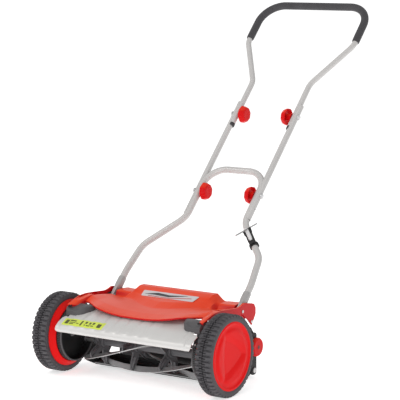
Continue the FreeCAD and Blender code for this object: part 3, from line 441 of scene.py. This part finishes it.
def makeTyre(side, sign):
    s = tyre
    width = tyreHigh.x - tyreLow.x
    half = [(0.9, 87.6), (0, 89.5), (0.0, 95), (0.7, 98), (3.2, 100.6), (8, s["root"]),
            (20, s["root"] + 0.3), (21.6, s["root"] - 1.6), (width / 2, s["root"] - 1.8)]
    outline = half + [(width - x, r) for x, r in reversed(half[:-1])]
    shape = turned([(tyreLow.x + x, r) for x, r in outline], axle, 144)
    pitch = tau / s["lugs"]
    for lug in range(s["lugs"]):
        shape = merge(shape, tyreLug(lug * pitch, False), tyreLug((lug + 0.14) * pitch, True))
    addMesh("tyreTread_" + side, flip(shape, sign), tyreRubber, "wheel_" + side, 40,
            "tyre_" + side)


cap = {"edge": 87.4, "rim": 82.5, "dish": 3.2, "relief": 4.8, "facetFrom": 0.33, "facetTurn": 178,
       "rings": 34}


# the cap is a shallow dish with a soft three-sided rise in it
def capPlace(radius, angle):
    s = cap
    if radius >= s["rim"]:
        depth = 0.9 * smooth(radius, s["edge"] + 0.2, s["edge"] - 3)
        return depth - 0.9
    depth = 1.6 * smooth(radius, s["rim"], s["rim"] - 3.5) + s["dish"] * smooth(radius, s["rim"] - 2, 8)
    out = max(math.cos(angle - math.radians(s["facetTurn"] + third * 120)) for third in range(3))
    rise = smooth(out * radius / s["edge"], s["facetFrom"] - 0.10, s["facetFrom"] + 0.22)
    rise *= smooth(radius, s["rim"] - 3, s["rim"] - 22)
    return -depth + s["relief"] * (rise - 0.5) * smooth(radius, s["rim"], s["rim"] - 16)


def makeCap(side, sign):
    s = cap
    low, high = nodeBox("wheel_cap_right")
    radii = [s["edge"], s["edge"] - 0.5, s["edge"] - 1.4, s["edge"] - 2.6]
    radii += [s["rim"] + 0.6, s["rim"]] + [s["rim"] - 1 - (s["rim"] - 3) * (ring / s["rings"]) ** 1.1
                                          for ring in range(s["rings"] + 1)]
    steps = 132
    rings = [[polar(axle, low.x, s["edge"], tau * step / steps) for step in range(steps)]]
    rings += [[polar(axle, high.x + capPlace(radius, tau * step / steps), radius, tau * step / steps)
               for step in range(steps)] for radius in radii]
    shape = skin(rings)
    addMesh("wheelCover_" + side, flip(shape, sign), redWheel, "wheel_" + side, 50,
            "wheel_cap_" + side)
    flange = ringFillet([(233.4, 88.4), (231.6, 88.2), (227, 83), (219.5, 76.4), (219.5, 73.6), (238, 73.6),
                         (238, 88)], 0.9, 3)
    addMesh("rimFlange_" + side, flip(turned(flange, axle, 132), sign), redWheel, "wheel_" + side, 30)


drum = {"skirt": 72.5, "ribs": 96, "ribHeight": 0.9, "from": 207.6, "to": 217.2, "lip": 3.2}


def makeDrum(side, sign):
    s = drum
    shape = ([], [])
    pitch = tau / s["ribs"]
    for rib in range(s["ribs"]):
        rings = []
        for x in (s["from"], s["to"]):
            rings.append([polar(axle, x, s["skirt"] + height, (rib + across) * pitch)
                          for height, across in ((-0.4, -0.32), (s["ribHeight"], -0.2),
                                                 (s["ribHeight"], 0.2), (-0.4, 0.32))])
        shape = merge(shape, skin(rings))
    addMesh("drumRibs_" + side, flip(shape, sign), darkMoulding, "chassis", 30)
    lip = ringFillet([(204.2, s["skirt"] - s["lip"]), (204.2, s["skirt"] + 0.8), (207.5, s["skirt"] + 0.8),
                      (208.2, s["skirt"] + 0.2), (208.2, s["skirt"] - s["lip"])], 0.8, 3)
    addMesh("drumLip_" + side, flip(turned(lip, axle, 132), sign), greyMoulding, "chassis", 30)


for side, sign in sides:
    makeTyre(side, sign)
    makeCap(side, sign)
    makeDrum(side, sign)
print("wheels made")


# top cover: profiles across the mower, lofted from the middle outwards

# |x|, then y and z of: lip, slope, crest, foot, hood edge, plate field, plate top, ridge front, ridge back,
# back top, hem
hoodBack = (140, 212, 160, 219, 181, 219, 195, 191, 205, 150)
coverRows = [
    (0, -34, 177, 2, 184, 30, 186.4, 50, 187, 88, 199.4, 113, 201, *hoodBack),
    (40, -34, 177.6, 2, 184.6, 30, 187, 62, 188, 97, 200, 113.5, 201.4, *hoodBack),
    (75, -33, 180.5, 4, 187, 36, 189, 84, 189.6, 111, 201, 118, 202.6, *hoodBack),
    (100, -31, 184.5, 8, 190, 46, 191, 104, 190.6, 122, 201.8, 127, 203.6, *hoodBack),
    (118, -28.6, 187.8, 12, 192.4, 62, 192.2, 112, 190.2, 130, 202.4, 134, 205.4, 141, *hoodBack[1:]),
    (126, -26, 189.6, 14, 193.4, 64, 192.8, 114, 189.8, 131, 200.6, 137, 204.6,
     148, 209, 162, 212.2, 181, 212.2, 194, 189, 205, 150),
    (134, -21, 190.2, 17, 194.2, 66, 193.6, 112, 189.6, 127, 197, 142, 200,
     153, 203.6, 164, 205.4, 181, 205.2, 193, 187, 205, 150),
    (142, -15.5, 190.4, 20, 195, 70, 194, 114, 189.4, 120, 184, 140, 185,
     152, 199, 164, 199.8, 181, 199.6, 198, 197.8, 205, 150),
    (160, -2, 190.6, 28, 196, 74, 195, 119, 190.2, 123, 184, 142, 184,
     150, 199, 162, 199.6, 181, 199.6, 202, 197.8, 209, 152),
    (178, 11, 190.8, 36, 200, 70, 199.2, 125, 192, 129, 184, 144, 184,
     150.6, 199, 162, 199.8, 181, 199.8, 204, 198, 211, 154),
    (187, 14, 190.6, 38, 202.4, 66, 200.8, 127.6, 192.8, 131, 184, 145, 184,
     151, 199.2, 163, 200, 181, 200, 206, 198, 212, 156),
]
coverSlot = (14, 190.6, 38, 204.0, 55, 203.4, 57.4, 190, 128.6, 189, 131, 168, 150, 166, 170, 166, 187, 166,
             189, 199, 213, 158)
coverTab = (190.2, -15.5, 184.6)
coverEnd = [
    (209.4, -35, 187.8, -6, 198.4, 16, 204, 44, 205.8, 80, 203.6, 127.6, 199.6,
     143, 202, 158, 207, 178, 203.4, 205, 198.6, 213, 170),
    (212.8, -34, 187, -5, 197.4, 16, 203, 44, 204.8, 80, 202.8, 127.6, 198.8,
     143, 201.2, 158, 206.2, 178, 202.6, 205, 197.8, 213, 170),
]


def coverProfile(row):
    values = row[1:]
    corners = [(values[i], values[i + 1]) for i in range(0, len(values), 2)]
    lip = Vector(corners[0])
    inward = [(lip.x + 2.6, lip.y - 5.0), (lip.x + 0.3, lip.y - 3.4)]
    line = fillet(inward + corners, 4.5, 4)
    dense = []
    for a, b in zip(line, line[1:]):
        dense += [tuple(mix(Vector(a), Vector(b), part / 2)) for part in range(2)]
    return dense + [line[-1]]


def coverStations():
    rows = []
    for before, after in zip(coverRows, coverRows[1:]):
        count = max(2, round((after[0] - before[0]) / 3))
        rows += [tuple(mix(a, b, part / count) for a, b in zip(before, after)) for part in range(count)]
    rows += [coverRows[-1], (188.8, *coverRows[-1][1:]), (189.4, *coverSlot)]
    rows += [(*coverTab, *coverSlot[2:]), (196, -25.5, 186, -8, 195, *coverSlot[4:])]
    rows += [(201, -32, 187.4, -7, 197, *coverSlot[4:]), (208.8, -35, 187.8, -6, 198.4, *coverSlot[4:])]
    return rows + coverEnd


def makeCover():
    rows = coverStations()
    profiles = [[Vector((row[0], y, z)) for y, z in coverProfile(row)] for row in rows]
    mirrored = [[Vector((-p.x, p.y, p.z)) for p in ring] for ring in reversed(profiles[1:])]
    shell = addMesh("coverShell", skin(mirrored + profiles, False, False), redCover, "chassis", 26,
                    "top_cover")
    thick = shell.modifiers.new("wall", "SOLIDIFY")
    thick.thickness, thick.offset = 0.0024, -1
    cheek = ringFillet([(-35, 187), (-6, 197.6), (16, 203.4), (44, 205.2), (80, 203), (127, 199.2),
                        (143, 201.6), (158, 206.6), (178, 203.2), (206, 197.6), (214, 186), (214, 170),
                        (195, 142), (186, 150),
                        (172, 163), (150, 178), (120, 184), (60, 190), (20, 192), (-10, 190)], 3)
    cheeks = merge(prism(cheek, 211.2, 213.6), prism(cheek, -213.6, -211.2))
    rounded(addMesh("coverCheeks", cheeks, redCover, "chassis", 30), 0.9)


makeCover()
print("cover made")


# deflector and its sticker

sheet = {"half": 196, "ears": {1: 215, -1: 208}, "earRows": (3, 33), "crease": 0.9, "thickness": 1.2,
         "ribs": (-163, -129, -95, -61, -27, 7, 41, 75, 192), "ribHalf": 11.5, "ribRise": 1.25,
         "ribFrom": 0.17,
         "ribSoft": 4.2, "rows": 74}
sheetLine = [(-84, 125.4), (-89, 125.6), (-93, 128.4), (-94, 133), (-90.5, 141), (-78, 150), (-60, 158),
             (-43, 164), (-20, 171), (0, 176), (20, 180)]


def alongLine(line, count):
    reach = [0]
    for a, b in zip(line, line[1:]):
        reach.append(reach[-1] + (Vector(b) - Vector(a)).length)
    table = [(r, *point) for r, point in zip(reach, line)]
    return [Vector(between(table, reach[-1] * i / (count - 1))) for i in range(count)]


sheetRows = alongLine(fillet(sheetLine, 7, 5), sheet["rows"])


# a point of the sheet's face, lifted square to it; the ribs' lower ends are round
def sheetPoint(x, row, lift=0.0):
    s = sheet
    i = min(max(int(row), 0), s["rows"] - 2)
    place = mix(sheetRows[i], sheetRows[i + 1], row - i)
    run = (sheetRows[i + 1] - sheetRows[i]).normalized()
    offset = min(abs(x - rib) for rib in s["ribs"])
    fromFoot = (row / (s["rows"] - 1) - s["ribFrom"]) * 150
    edge = s["ribHalf"] - offset
    if fromFoot < s["ribHalf"]:
        edge = s["ribHalf"] - math.hypot(offset, s["ribHalf"] - fromFoot)
    press = smooth(edge, -s["ribSoft"] / 2, s["ribSoft"] / 2) * smooth(s["half"] - 8 - abs(x), 0, 6)
    rise = lift + s["ribRise"] * press
    point = place + Vector((-run.y, run.x)) * rise
    crease = s["crease"] * max(0, 1 - abs(abs(x) - s["half"]) / 1.6)
    return Vector((x, point.x + crease, point.y - crease))


def makeDeflector():
    s = sheet
    columns = 201
    places = [mix(-s["half"], s["half"], column / (columns - 1)) for column in range(columns)]
    rings = [[sheetPoint(x, row) for row in range(s["rows"])] for x in places]
    shape = skin(rings, False, False)
    first, last = s["earRows"]
    for sign in (1, -1):
        ears = []
        for step in range(13):
            share = step / 12
            trim = 4 * smooth(share, 0.62, 1.0)
            x = sign * mix(s["half"], s["ears"][sign], share)
            ears.append([sheetPoint(x, mix(first + trim, last - trim, row / 30)) for row in range(31)])
        shape = merge(shape, skin(ears, False, False))
    piece = addMesh("deflectorSheet", shape, silverSheet, "chassis", 45, "deflector")
    thick = piece.modifiers.new("gauge", "SOLIDIFY")
    thick.thickness, thick.offset = s["thickness"] / 1000, 0


# the row of the sheet that lies at a given y on its upper face
def sheetRow(y):
    rows = [(row, point.x) for row, point in enumerate(sheetRows) if point.y > 136]
    return min(rows, key=lambda item: abs(item[1] - y))[0]


sticker = {"inset": 14, "length": 130, "top": -62, "foot": -86, "lift": 0.75,
           "marks": ((0.05, 0.20, 0.13, 0.80), (0.16, 0.22, 0.30, 0.40), (0.16, 0.52, 0.38, 0.62),
                     (0.16, 0.70, 0.27, 0.80), (0.43, 0.16, 0.47, 0.84), (0.53, 0.18, 0.58, 0.50),
                     (0.62, 0.18, 0.67, 0.50), (0.71, 0.18, 0.76, 0.50),
                     (0.53, 0.64, 0.76, 0.76), (0.84, 0.24, 0.93, 0.78))}


# a patch laid on the sheet between two corners, each a share along and down the sticker
def stickerPatch(name, corners, lift, material, columns, rows, skew=0.0):
    s = sticker
    a, b, c, d = corners
    first, last = sheetRow(s["top"]), sheetRow(s["foot"])
    rings = []
    for i in range(columns + 1):
        ring = []
        for j in range(rows + 1):
            down = mix(b, d, j / rows)
            along = mix(a, c, i / columns) + skew * (j / rows - 0.5)
            x = s["inset"] - sheet["ears"][-1] + s["length"] * along
            ring.append(sheetPoint(x, mix(first, last, down), lift))
        rings.append(ring)
    return addMesh(name, skin(rings, False, False), material, "chassis", 60)


def makeSticker():
    s = sticker
    stickerPatch("stickerField", (0, 0, 1, 1), s["lift"], stickerLime, 60, 20)
    for number, corners in enumerate(s["marks"]):
        stickerPatch(f"stickerMark_{number}", corners, s["lift"] + 0.12, stickerMark, 8, 8)


makeSticker()
makeDeflector()
print("deflector made")


# end clamps over the deflector's corners

def makeClamp(side, sign):
    plan = ringFillet([(211, -45), (181, -46.5), (167, -44), (157, -36), (150, -22), (143, -4),
                       (211, -4)], 5)
    rings = []
    for inset, lift in ((0, 0), (0, 11.5), (1.2, 13.6), (4.5, 15.2)):
        ring = []
        for x, y in plan:
            floor = between([(-94, 131), (-78, 150), (-43, 164), (0, 176), (20, 180)], y)[0]
            top = between([(-47, 176), (-40, 184.5), (-30, 187), (0, 188.4)], y)[0]
            middle = Vector((188, -24))
            point = Vector((x, y)) + (middle - Vector((x, y))).normalized() * inset
            height = floor - 1.2 if lift == 0 else mix(floor, top, lift / 15.2)
            ring.append(Vector((point.x, point.y, height)))
        rings.append(ring)
    body = addMesh("clampBlock_" + side, flip(skin(rings), sign), greyMoulding, "chassis", 34,
                   "end_clamp_" + side)
    # a black collar with a disc sunk in it stands for the clamp's bolt hole: painted shade of the hole
    holeShade = [[Vector((202.5 + r * math.cos(a), -35.5 + r * math.sin(a), z + 0.18 * r * math.sin(a)))
             for a in (tau * i / 24 for i in range(24))]
            for r, z in ((4.6, 184.9), (4.4, 186.9), (3.2, 186.9), (3.0, 185.4))]
    addMesh("clampHole_" + side, flip(skin(holeShade), sign), blackMoulding, "chassis", 30)
    return body


for side, sign in sides:
    makeClamp(side, sign)
print("clamps made")


# knobs

knob = {"radius": 24.6, "sides": 8, "necks": {"lower": 6.5, "upper": 10.0}, "depth": 15.5, "hollow": 7,
        "turn": 0.2}


# an eight-sided cup that tapers outwards: its hollow back faces the tube
def makeKnob(name, level, body, slotNode, inward):
    s = knob
    neck = s["necks"][level]
    low, high = nodeBox(slotNode)
    place = (low + high) / 2
    depth = neck + s["depth"]
    start = high.x if inward < 0 else low.x
    sections = [(0, 0.40), (neck + s["hollow"], 0.38), (neck + s["hollow"], 0.78), (neck + 0.4, 0.90),
                (neck, 0.93), (neck, 0.985), (neck + 0.6, 1.0), (neck + 4.4, 0.99),
                (depth - 1.6, 0.83), (depth - 0.5, 0.79), (depth, 0.73), (depth, 0.40), (depth - 0.5, 0.05)]
    steps = 96
    rings = []
    for x, share in sections:
        ring = []
        for step in range(steps):
            angle = tau * step / steps
            half = math.pi / s["sides"]
            flat = math.cos(half) / math.cos((angle % (2 * half)) - half)
            radius = share * s["radius"] * mix(1, min(flat / 0.965, 1), smooth(share, 0.4, 0.7))
            turn = angle + s["turn"]
            ring.append(Vector((start + inward * x, place.y + radius * math.cos(turn),
                                place.z + radius * math.sin(turn))))
        rings.append(ring)
    addMesh(name, skin(rings), redKnob, body, 24, slotNode)


for level in ("lower", "upper"):
    for side, sign in sides:
        makeKnob(f"{level}Grip_{side}", level, f"{level}_knob_{side}_body", f"{level}_knob_{side}", -sign)
print("knobs made")


# reel: five twisted blades on four stars

reel = {"start": 83.85, "twist": 0.28605, "half": 190, "steps": 76, "stars": (-162, -54, 54, 162),
        "starHalf": 2.2,
        "blade": ((52.5, 1.2), (66.9, 1.2), (67.5, 0.7), (67.5, -1.2), (52.5, -1.2)),
        "edge": ((66.6, 1.1), (67.5, 1.3), (67.85, 1.0), (67.85, -1.0), (67.5, -1.3), (66.6, -1.1)),
        "lobe": ((-31, 25), (-17, 37), (-7, 53), (-4, 65.2), (-1, 66.6), (9, 66.2), (13.5, 64.4), (18, 54),
                 (22, 42), (30, 28)),
        "flange": ((17.5, 30), (16.5, 42), (15, 53), (12.5, 61.5)), "hub": 17}


def reelPlace(x, radius, degrees, across=0.0):
    angle = math.radians(degrees)
    return Vector((x, reelCentre.y - radius * math.cos(angle) + across * math.sin(angle),
                   reelCentre.z + radius * math.sin(angle) + across * math.cos(angle)))


def reelStrip(section, degrees):
    s = reel
    rings = []
    for step in range(s["steps"] + 1):
        x = mix(-s["half"], s["half"], step / s["steps"])
        rings.append([reelPlace(x, r, s["start"] + s["twist"] * x + degrees, across) for r, across in section])
    return skin(rings)


def makeReel():
    s = reel
    lobes = [72 * number for number in range(5)]
    addMesh("reelKnives", merge(*[reelStrip(s["blade"], turn) for turn in lobes]), bladePaint, "reel", 30,
            "reel_blades")
    addMesh("reelEdges", merge(*[reelStrip(s["edge"], turn) for turn in lobes]), zincSteel, "reel", 30)
    shape = ([], [])
    for x in s["stars"]:
        turn = s["start"] + s["twist"] * x
        outline = [(degrees + turn + lobe, radius) for lobe in lobes for degrees, radius in s["lobe"]]
        rings = [[reelPlace(x + side * (s["starHalf"] - inset * 0.7), radius - inset, degrees)
                  for degrees, radius in outline]
                 for side, inset in ((-1, 0.9), (-1, 0), (1, 0), (1, 0.9))]
        shape = merge(shape, skin(rings))
        for lobe in lobes:  # a folded flange along the leading side of each lobe
            inner = [reelPlace(x + 1.5, r, turn + lobe + degrees) for degrees, r in s["flange"]]
            outer = [reelPlace(x + 11 - 0.09 * r, r + 1.5, turn + lobe + degrees - 3.5)
                     for degrees, r in s["flange"]]
            under = [reelPlace(x + 1.5, r, turn + lobe + degrees - 3.4) for degrees, r in s["flange"]]
            shape = merge(shape, skin([inner, outer, under], False, False))
        collar = ringFillet([(x - 8, 8.2), (x - 8, s["hub"]), (x + 8, s["hub"]), (x + 8, 8.2)], 1.2, 3)
        shape = merge(shape, turned(collar, reelCentre, 60))
    addMesh("reelStars", shape, reelPaint, "reel", 32, "reel_spiders")
    sleeve = ringFillet([(-188, 8.2), (-188, 12.5), (188, 12.5), (188, 8.2)], 1.0, 2)
    addMesh("reelSleeve", turned(sleeve, reelCentre, 60), reelPaint, "reel", 32)


makeReel()
print("reel made")


# generic plate on the hood: white field, a dark wave and a red stroke

plate = {"half": 88, "front": (113.6, 201.9), "back": (139.0, 212.2), "lift": 0.35}


def platePoint(across, down, lift):
    s = plate
    front, back = Vector(s["front"]), Vector(s["back"])
    run = (front - back).normalized()
    point = mix(back, front, down) + Vector((run.y, -run.x)) * lift
    return Vector((across * s["half"], point.x, point.y))


def plateBand(name, upper, lower, lift, material, steps=48):
    rings = []
    for step in range(steps + 1):
        t = step / steps
        rings.append([platePoint(*between(upper, t), lift), platePoint(*between(lower, t), lift)])
    return addMesh(name, skin(rings, False, False), material, "chassis", 60)


def makePlate():
    s = plate
    outline = ringFillet([(-1, 0.02), (1, 0.02), (0.93, 0.98), (-0.93, 0.98)], 0.07, 4)
    rings = [[platePoint(x, y, lift) for x, y in outline] for lift in (-0.4, s["lift"])]
    addMesh("hoodPlate", skin(rings), plateWhite, "chassis", 30, "label_plate")
    plateBand("plateWave", [(0, -0.86, 0.62), (0.3, -0.45, 0.22), (0.6, 0.0, 0.40), (1, 0.62, 0.16)],
              [(0, -0.86, 0.64), (0.3, -0.50, 0.62), (0.6, 0.02, 0.74), (1, 0.62, 0.20)],
              s["lift"] + 0.12, plateDark)
    plateBand("plateStroke", [(0, -0.70, 0.80), (0.5, 0.05, 0.84), (1, 0.80, 0.46)],
              [(0, -0.68, 0.90), (0.5, 0.07, 0.94), (1, 0.82, 0.56)], s["lift"] + 0.14, plateRed)


makePlate()
print("plate made")


# small pieces of the handle

clip = {"low": (188.6, 175), "along": (-0.664, 0.748), "across": (0.748, 0.664), "inner": 9.5, "outer": 13.0}


# a point beside the right leg: along it, across it and out of the handle's plane
def clipPoint(along, across, out):
    s = clip
    return onHandle(s["low"][0] + s["along"][0] * along + s["across"][0] * across,
                    s["low"][1] + s["along"][1] * along + s["across"][1] * across, out)


# an oval bar along the leg from (along, across, out, half width, half height) sections
def clipBar(sections, steps=20):
    rings = []
    for along, across, out, width, height in sections:
        ring = []
        for step in range(steps):
            a = tau * step / steps
            c, d = math.cos(a), math.sin(a)
            ring.append(clipPoint(along, across + width * math.copysign(abs(c) ** 0.6, c),
                                  out + height * math.copysign(abs(d) ** 0.6, d)))
        rings.append(ring)
    return skin(rings)


def makeClip():
    s = clip
    ring = []
    for step in range(41):
        a = math.radians(mix(-52, 232, step / 40))
        tip = 1 - 0.45 * smooth(abs(step - 20), 14, 20)
        ring.append([clipPoint(along, r * math.cos(a), r * math.sin(a))
                     for r, along in ((s["inner"], 43), (s["inner"] + (s["outer"] - s["inner"]) * tip, 43.6),
                                      (s["inner"] + (s["outer"] - s["inner"]) * tip, 53.4), (s["inner"], 54))])
    shape = skin(ring)
    shape = merge(shape, clipBar([(50, 7.6, 13, 1.6, 3.6), (60, 7.8, 13.4, 1.9, 3.8),
                                  (84, 7.6, 13.4, 1.9, 3.8), (88, 8.6, 13.4, 3.0, 4.2),
                                  (101, 8.8, 13.6, 3.4, 4.4), (104, 8.4, 13.6, 1.5, 2.0)]),
                  clipBar([(50, -7.6, 13, 1.6, 3.6), (60, -7.8, 13.4, 1.9, 3.8), (82, -7.6, 13.4, 1.8, 3.6),
                           (86, -8.8, 13.2, 3.0, 4.2), (98, -9.0, 13.2, 3.2, 4.4),
                           (102, -8.4, 13.2, 1.4, 2.0)]),
                  clipBar([(46, 0, 13, 7.5, 2.4), (50, 0, 14, 8.6, 3.2), (56, 0, 14, 8.4, 3.2),
                           (58, 0, 13.6, 7.6, 2.4)]))
    addMesh("clipBody", shape, blackMoulding, "handle", 40, "catcher_clip")
    strap = clipBar([(58.5, 0, 14, 2.5, 1.5), (61, 0, 15, 4.6, 3), (70, 0, 15.4, 5.2, 3.4),
                     (92, -0.4, 15.4, 5.2, 3.4),
                     (103, -0.8, 15.2, 4.6, 3.2), (107, -1, 15, 2.4, 1.6)])
    addMesh("clipStrap", strap, paleNylon, "handle", 40, "catcher_strap")



makeClip()
print("clip made")


# flattened leg ends, height knobs, plugs and bolt heads

def ovalRing(centre, wide, high, s, steps=28):
    ring = []
    for step in range(steps):
        a = tau * step / steps
        c, d = math.cos(a), math.sin(a)
        ring.append(onHandle(centre + wide * math.copysign(abs(c) ** 0.7, c), s,
                             high * math.copysign(abs(d) ** 0.7, d)))
    return ring


# the flattened leg ends get the darker grey, painted shade on the lower legs
def makeLegEnd(side, sign):
    rings = [ovalRing(200, wide, high, s) for s, wide, high in (
        (-9.6, 3.6, 3), (-8, 4.3, 7), (-3, 4.4, 10), (4, 4.4, 10.4), (24, 4.4, 10.4), (28, 7.4, 10.6),
        (40, 9.5, 10.6),
        (52, 9.6, 10.1), (64, 9.45, 9.45))]
    addMesh("legEnd_" + side, flip(skin(rings), sign), tubeShadedFlat, "handle", 40)


def makeAdjuster(side, sign):
    low, high = nodeBox("adjuster_knob_right")
    place = Vector((0, (low.y + high.y) / 2, (low.z + high.z) / 2))
    body = "adjuster_" + side
    outline = fillet([(low.x, 3.3), (low.x, 21.5), (low.x + 4, 25), (high.x - 4, 25), (high.x, 22),
                      (high.x - 0.6, 14),
                      (high.x + 0.2, 0.02)], 1.6, 4)
    addMesh("heightKnob_" + side, flip(turned(outline, place, 72, False), sign), redKnob, body, 40,
            "adjuster_knob_" + side)
    # a dark red disc closes the knob's bore: painted shade of the hole
    boreShadeDisc = [(high.x - 0.2, 5.4), (high.x + 0.35, 5.0), (high.x + 0.45, 0.02)]
    addMesh("heightKnobCentre_" + side, flip(turned(boreShadeDisc, place, 40, False), sign), boreShadeRed, body, 40)


heads = {"reach": 107.8, "places": (373.5, 651), "radius": 6.6, "height": 5.4}


def makeHeads(side, sign):
    s = heads
    shape = ([], [])
    for place in s["places"]:
        rings = []
        for x, r in ((s["reach"] - 0.2, 7.6), (s["reach"] + 0.8, 7.6), (s["reach"] + 1.0, s["radius"]),
                     (s["reach"] + 3.2, s["radius"] * 0.92), (s["reach"] + 4.6, s["radius"] * 0.62),
                     (s["reach"] + s["height"], 0.3)):
            rings.append([onHandle(x, place + r * math.cos(tau * i / 32), r * math.sin(tau * i / 32))
                          for i in range(32)])
        shape = merge(shape, skin(rings))
    addMesh("boltDomes_" + side, flip(shape, sign), paleNylon, "handle", 45)


def makePlug(side, sign):
    rings = [[onHandle(94.5 + r * math.cos(tau * i / 40), s, r * math.sin(tau * i / 40)) for i in range(40)]
             for s, r in ((616.5, 8.0), (616, 8.35), (608, 8.35), (606.4, 7.4), (606.2, 3))]
    addMesh("plugCap_" + side, flip(skin(rings), sign), darkMoulding, "handle", 40)
    # black discs fill the middle tube's open lower end and the hole above it: painted shade inside the tube
    # and the hole
    mouthShade = [[onHandle(99.3 + r * math.cos(tau * i / 40), s, r * math.sin(tau * i / 40)) for i in range(40)]
             for s, r in ((292.9, 6.9), (292.8, 0.3))]
    holeShade = []
    for r in (2.6, 0.3):
        holeShade.append([onHandle(99.3 + (8.62 if r < 1 else 8.2), 328 + r * math.cos(tau * i / 20),
                              r * math.sin(tau * i / 20))
                     for i in range(20)])
    addMesh("tubeMouth_" + side, flip(merge(skin(mouthShade), skin(holeShade)), sign), blackMoulding, "handle", 40)


for side, sign in sides:
    makeLegEnd(side, sign)
    makeAdjuster(side, sign)
    makeHeads(side, sign)
    makePlug(side, sign)
print("handle details made")


# foam grip: one sleeve with soft ends round the upper bar

def gripLine():
    corner = 68
    x, start, top = 176.5, 934, 1069
    side = [(x, s) for s in (start, start + 3, start + 8, 960, 980, top - corner)]
    arc = [(x - corner + corner * math.cos(a), top - corner + corner * math.sin(a))
           for a in (math.pi / 2 * i / 14 for i in range(1, 15))]
    right = side + arc
    bar = [(mix(x - corner, corner - x, i / 12), top) for i in range(1, 12)]
    return right + bar + [(-a, b) for a, b in reversed(right)]


def makeGrip():
    line = gripLine()
    rings = []
    for i, (x, s) in enumerate(line):
        before, after = line[max(i - 1, 0)], line[min(i + 1, len(line) - 1)]
        run = (Vector(after) - Vector(before)).normalized()
        reach = min(i, len(line) - 1 - i)
        radius = (9.4, 10.5, 10.9, 11.0)[min(reach, 3)]
        rings.append([onHandle(x + run.y * radius * math.cos(a), s - run.x * radius * math.cos(a),
                               radius * math.sin(a))
                      for a in (tau * k / 36 for k in range(36))])
    addMesh("gripSleeve", skin(rings), gripFoam, "handle", 50, "foam_grip")


makeGrip()
print("grip made")


# camera, floor and light

cameraSettings = {"target": (0.0004, 0.2714, 0.4452), "distance": 4.6744, "azimuth": 33.618,
                  "elevation": 7.962, "roll": 0.133, "lens": 157.1}


def aimCamera(s):
    turn, lift, roll = (math.radians(s[key]) for key in ("azimuth", "elevation", "roll"))
    back = Vector((math.sin(turn) * math.cos(lift), -math.cos(turn) * math.cos(lift), math.sin(lift)))
    level = Vector((math.cos(turn), math.sin(turn), 0))
    above = back.cross(level)
    right = level * math.cos(roll) + above * math.sin(roll)
    up = above * math.cos(roll) - level * math.sin(roll)
    data = bpy.data.cameras.new("camera")
    data.lens, data.sensor_width, data.clip_end = s["lens"], 36, 200
    camera = bpy.data.objects.new("camera", data)
    bpy.context.scene.collection.objects.link(camera)
    camera.matrix_world = Matrix.Translation(Vector(s["target"]) + back * s["distance"]) @ Matrix(
        (right, up, back)).transposed().to_4x4()
    bpy.context.scene.camera = camera


def addFloor(half=60):
    s = Shader("floorPaper", Specular_IOR_Level=0.0, Roughness=1.0, Emission_Color=(1, 1, 1, 1),
               Emission_Strength=0.6)
    s.paint(Base_Color=s.tint(s.noise(3, 4), (0.94, 0.94, 0.94), (0.96, 0.96, 0.96)))
    mesh = bpy.data.meshes.new("floor")
    corners = [(-half, -half, 0), (half, -half, 0), (half, half, 0), (-half, half, 0)]
    mesh.from_pydata(corners, [], [(0, 1, 2, 3)])
    mesh.materials.append(s.bump((s.noise(900, 2), 0.05, 0.0001)))
    floor = bpy.data.objects.new("floor", mesh)
    bpy.context.scene.collection.objects.link(floor)


# name: (place, aim, size, watts, colour)
lamps = {
    "key": ((-1.6, -2.2, 3.0), (0, 0.2, 0.2), 1.6, 30, (1.0, 0.985, 0.96)),
    "low": ((0.5, -3.4, 0.5), (0, 0.1, 0.08), 1.4, 16, (1, 1, 1)),
    "fill": ((3.2, -2.6, 1.6), (0, 0.2, 0.3), 2.6, 8, (1, 1, 1)),
    "top": ((0.2, 0.6, 3.6), (0, 0.3, 0.2), 3.0, 10, (1, 1, 1)),
    "rear": ((-2.2, 3.2, 2.2), (0, 0.3, 0.4), 2.4, 10, (1, 1, 1)),
}


def addLight():
    scene = bpy.context.scene
    for name, (place, aim, size, watts, colour) in lamps.items():
        data = bpy.data.lights.new(name, "AREA")
        data.size, data.energy, data.color = size, watts, colour
        lamp = bpy.data.objects.new(name, data)
        lamp.location = place
        lamp.rotation_euler = (Vector(aim) - Vector(place)).to_track_quat("-Z", "Y").to_euler()
        scene.collection.objects.link(lamp)
    world = bpy.data.worlds.new("studio")
    world.use_nodes = True
    tree = world.node_tree
    backdrop = tree.nodes["Background"]
    backdrop.inputs["Color"].default_value = (1, 1, 1, 1)
    seen = tree.nodes.new("ShaderNodeLightPath")
    # the backdrop looks as pale as the floor and lights more softly
    level = tree.nodes.new("ShaderNodeMapRange")
    level.inputs["To Min"].default_value, level.inputs["To Max"].default_value = 0.56, 1.0
    tree.links.new(seen.outputs["Is Camera Ray"], level.inputs["Value"])
    tree.links.new(level.outputs["Result"], backdrop.inputs["Strength"])
    scene.world = world
    scene.view_settings.view_transform = "Standard"


aimCamera(cameraSettings)
addFloor()
addLight()
print("stage set")
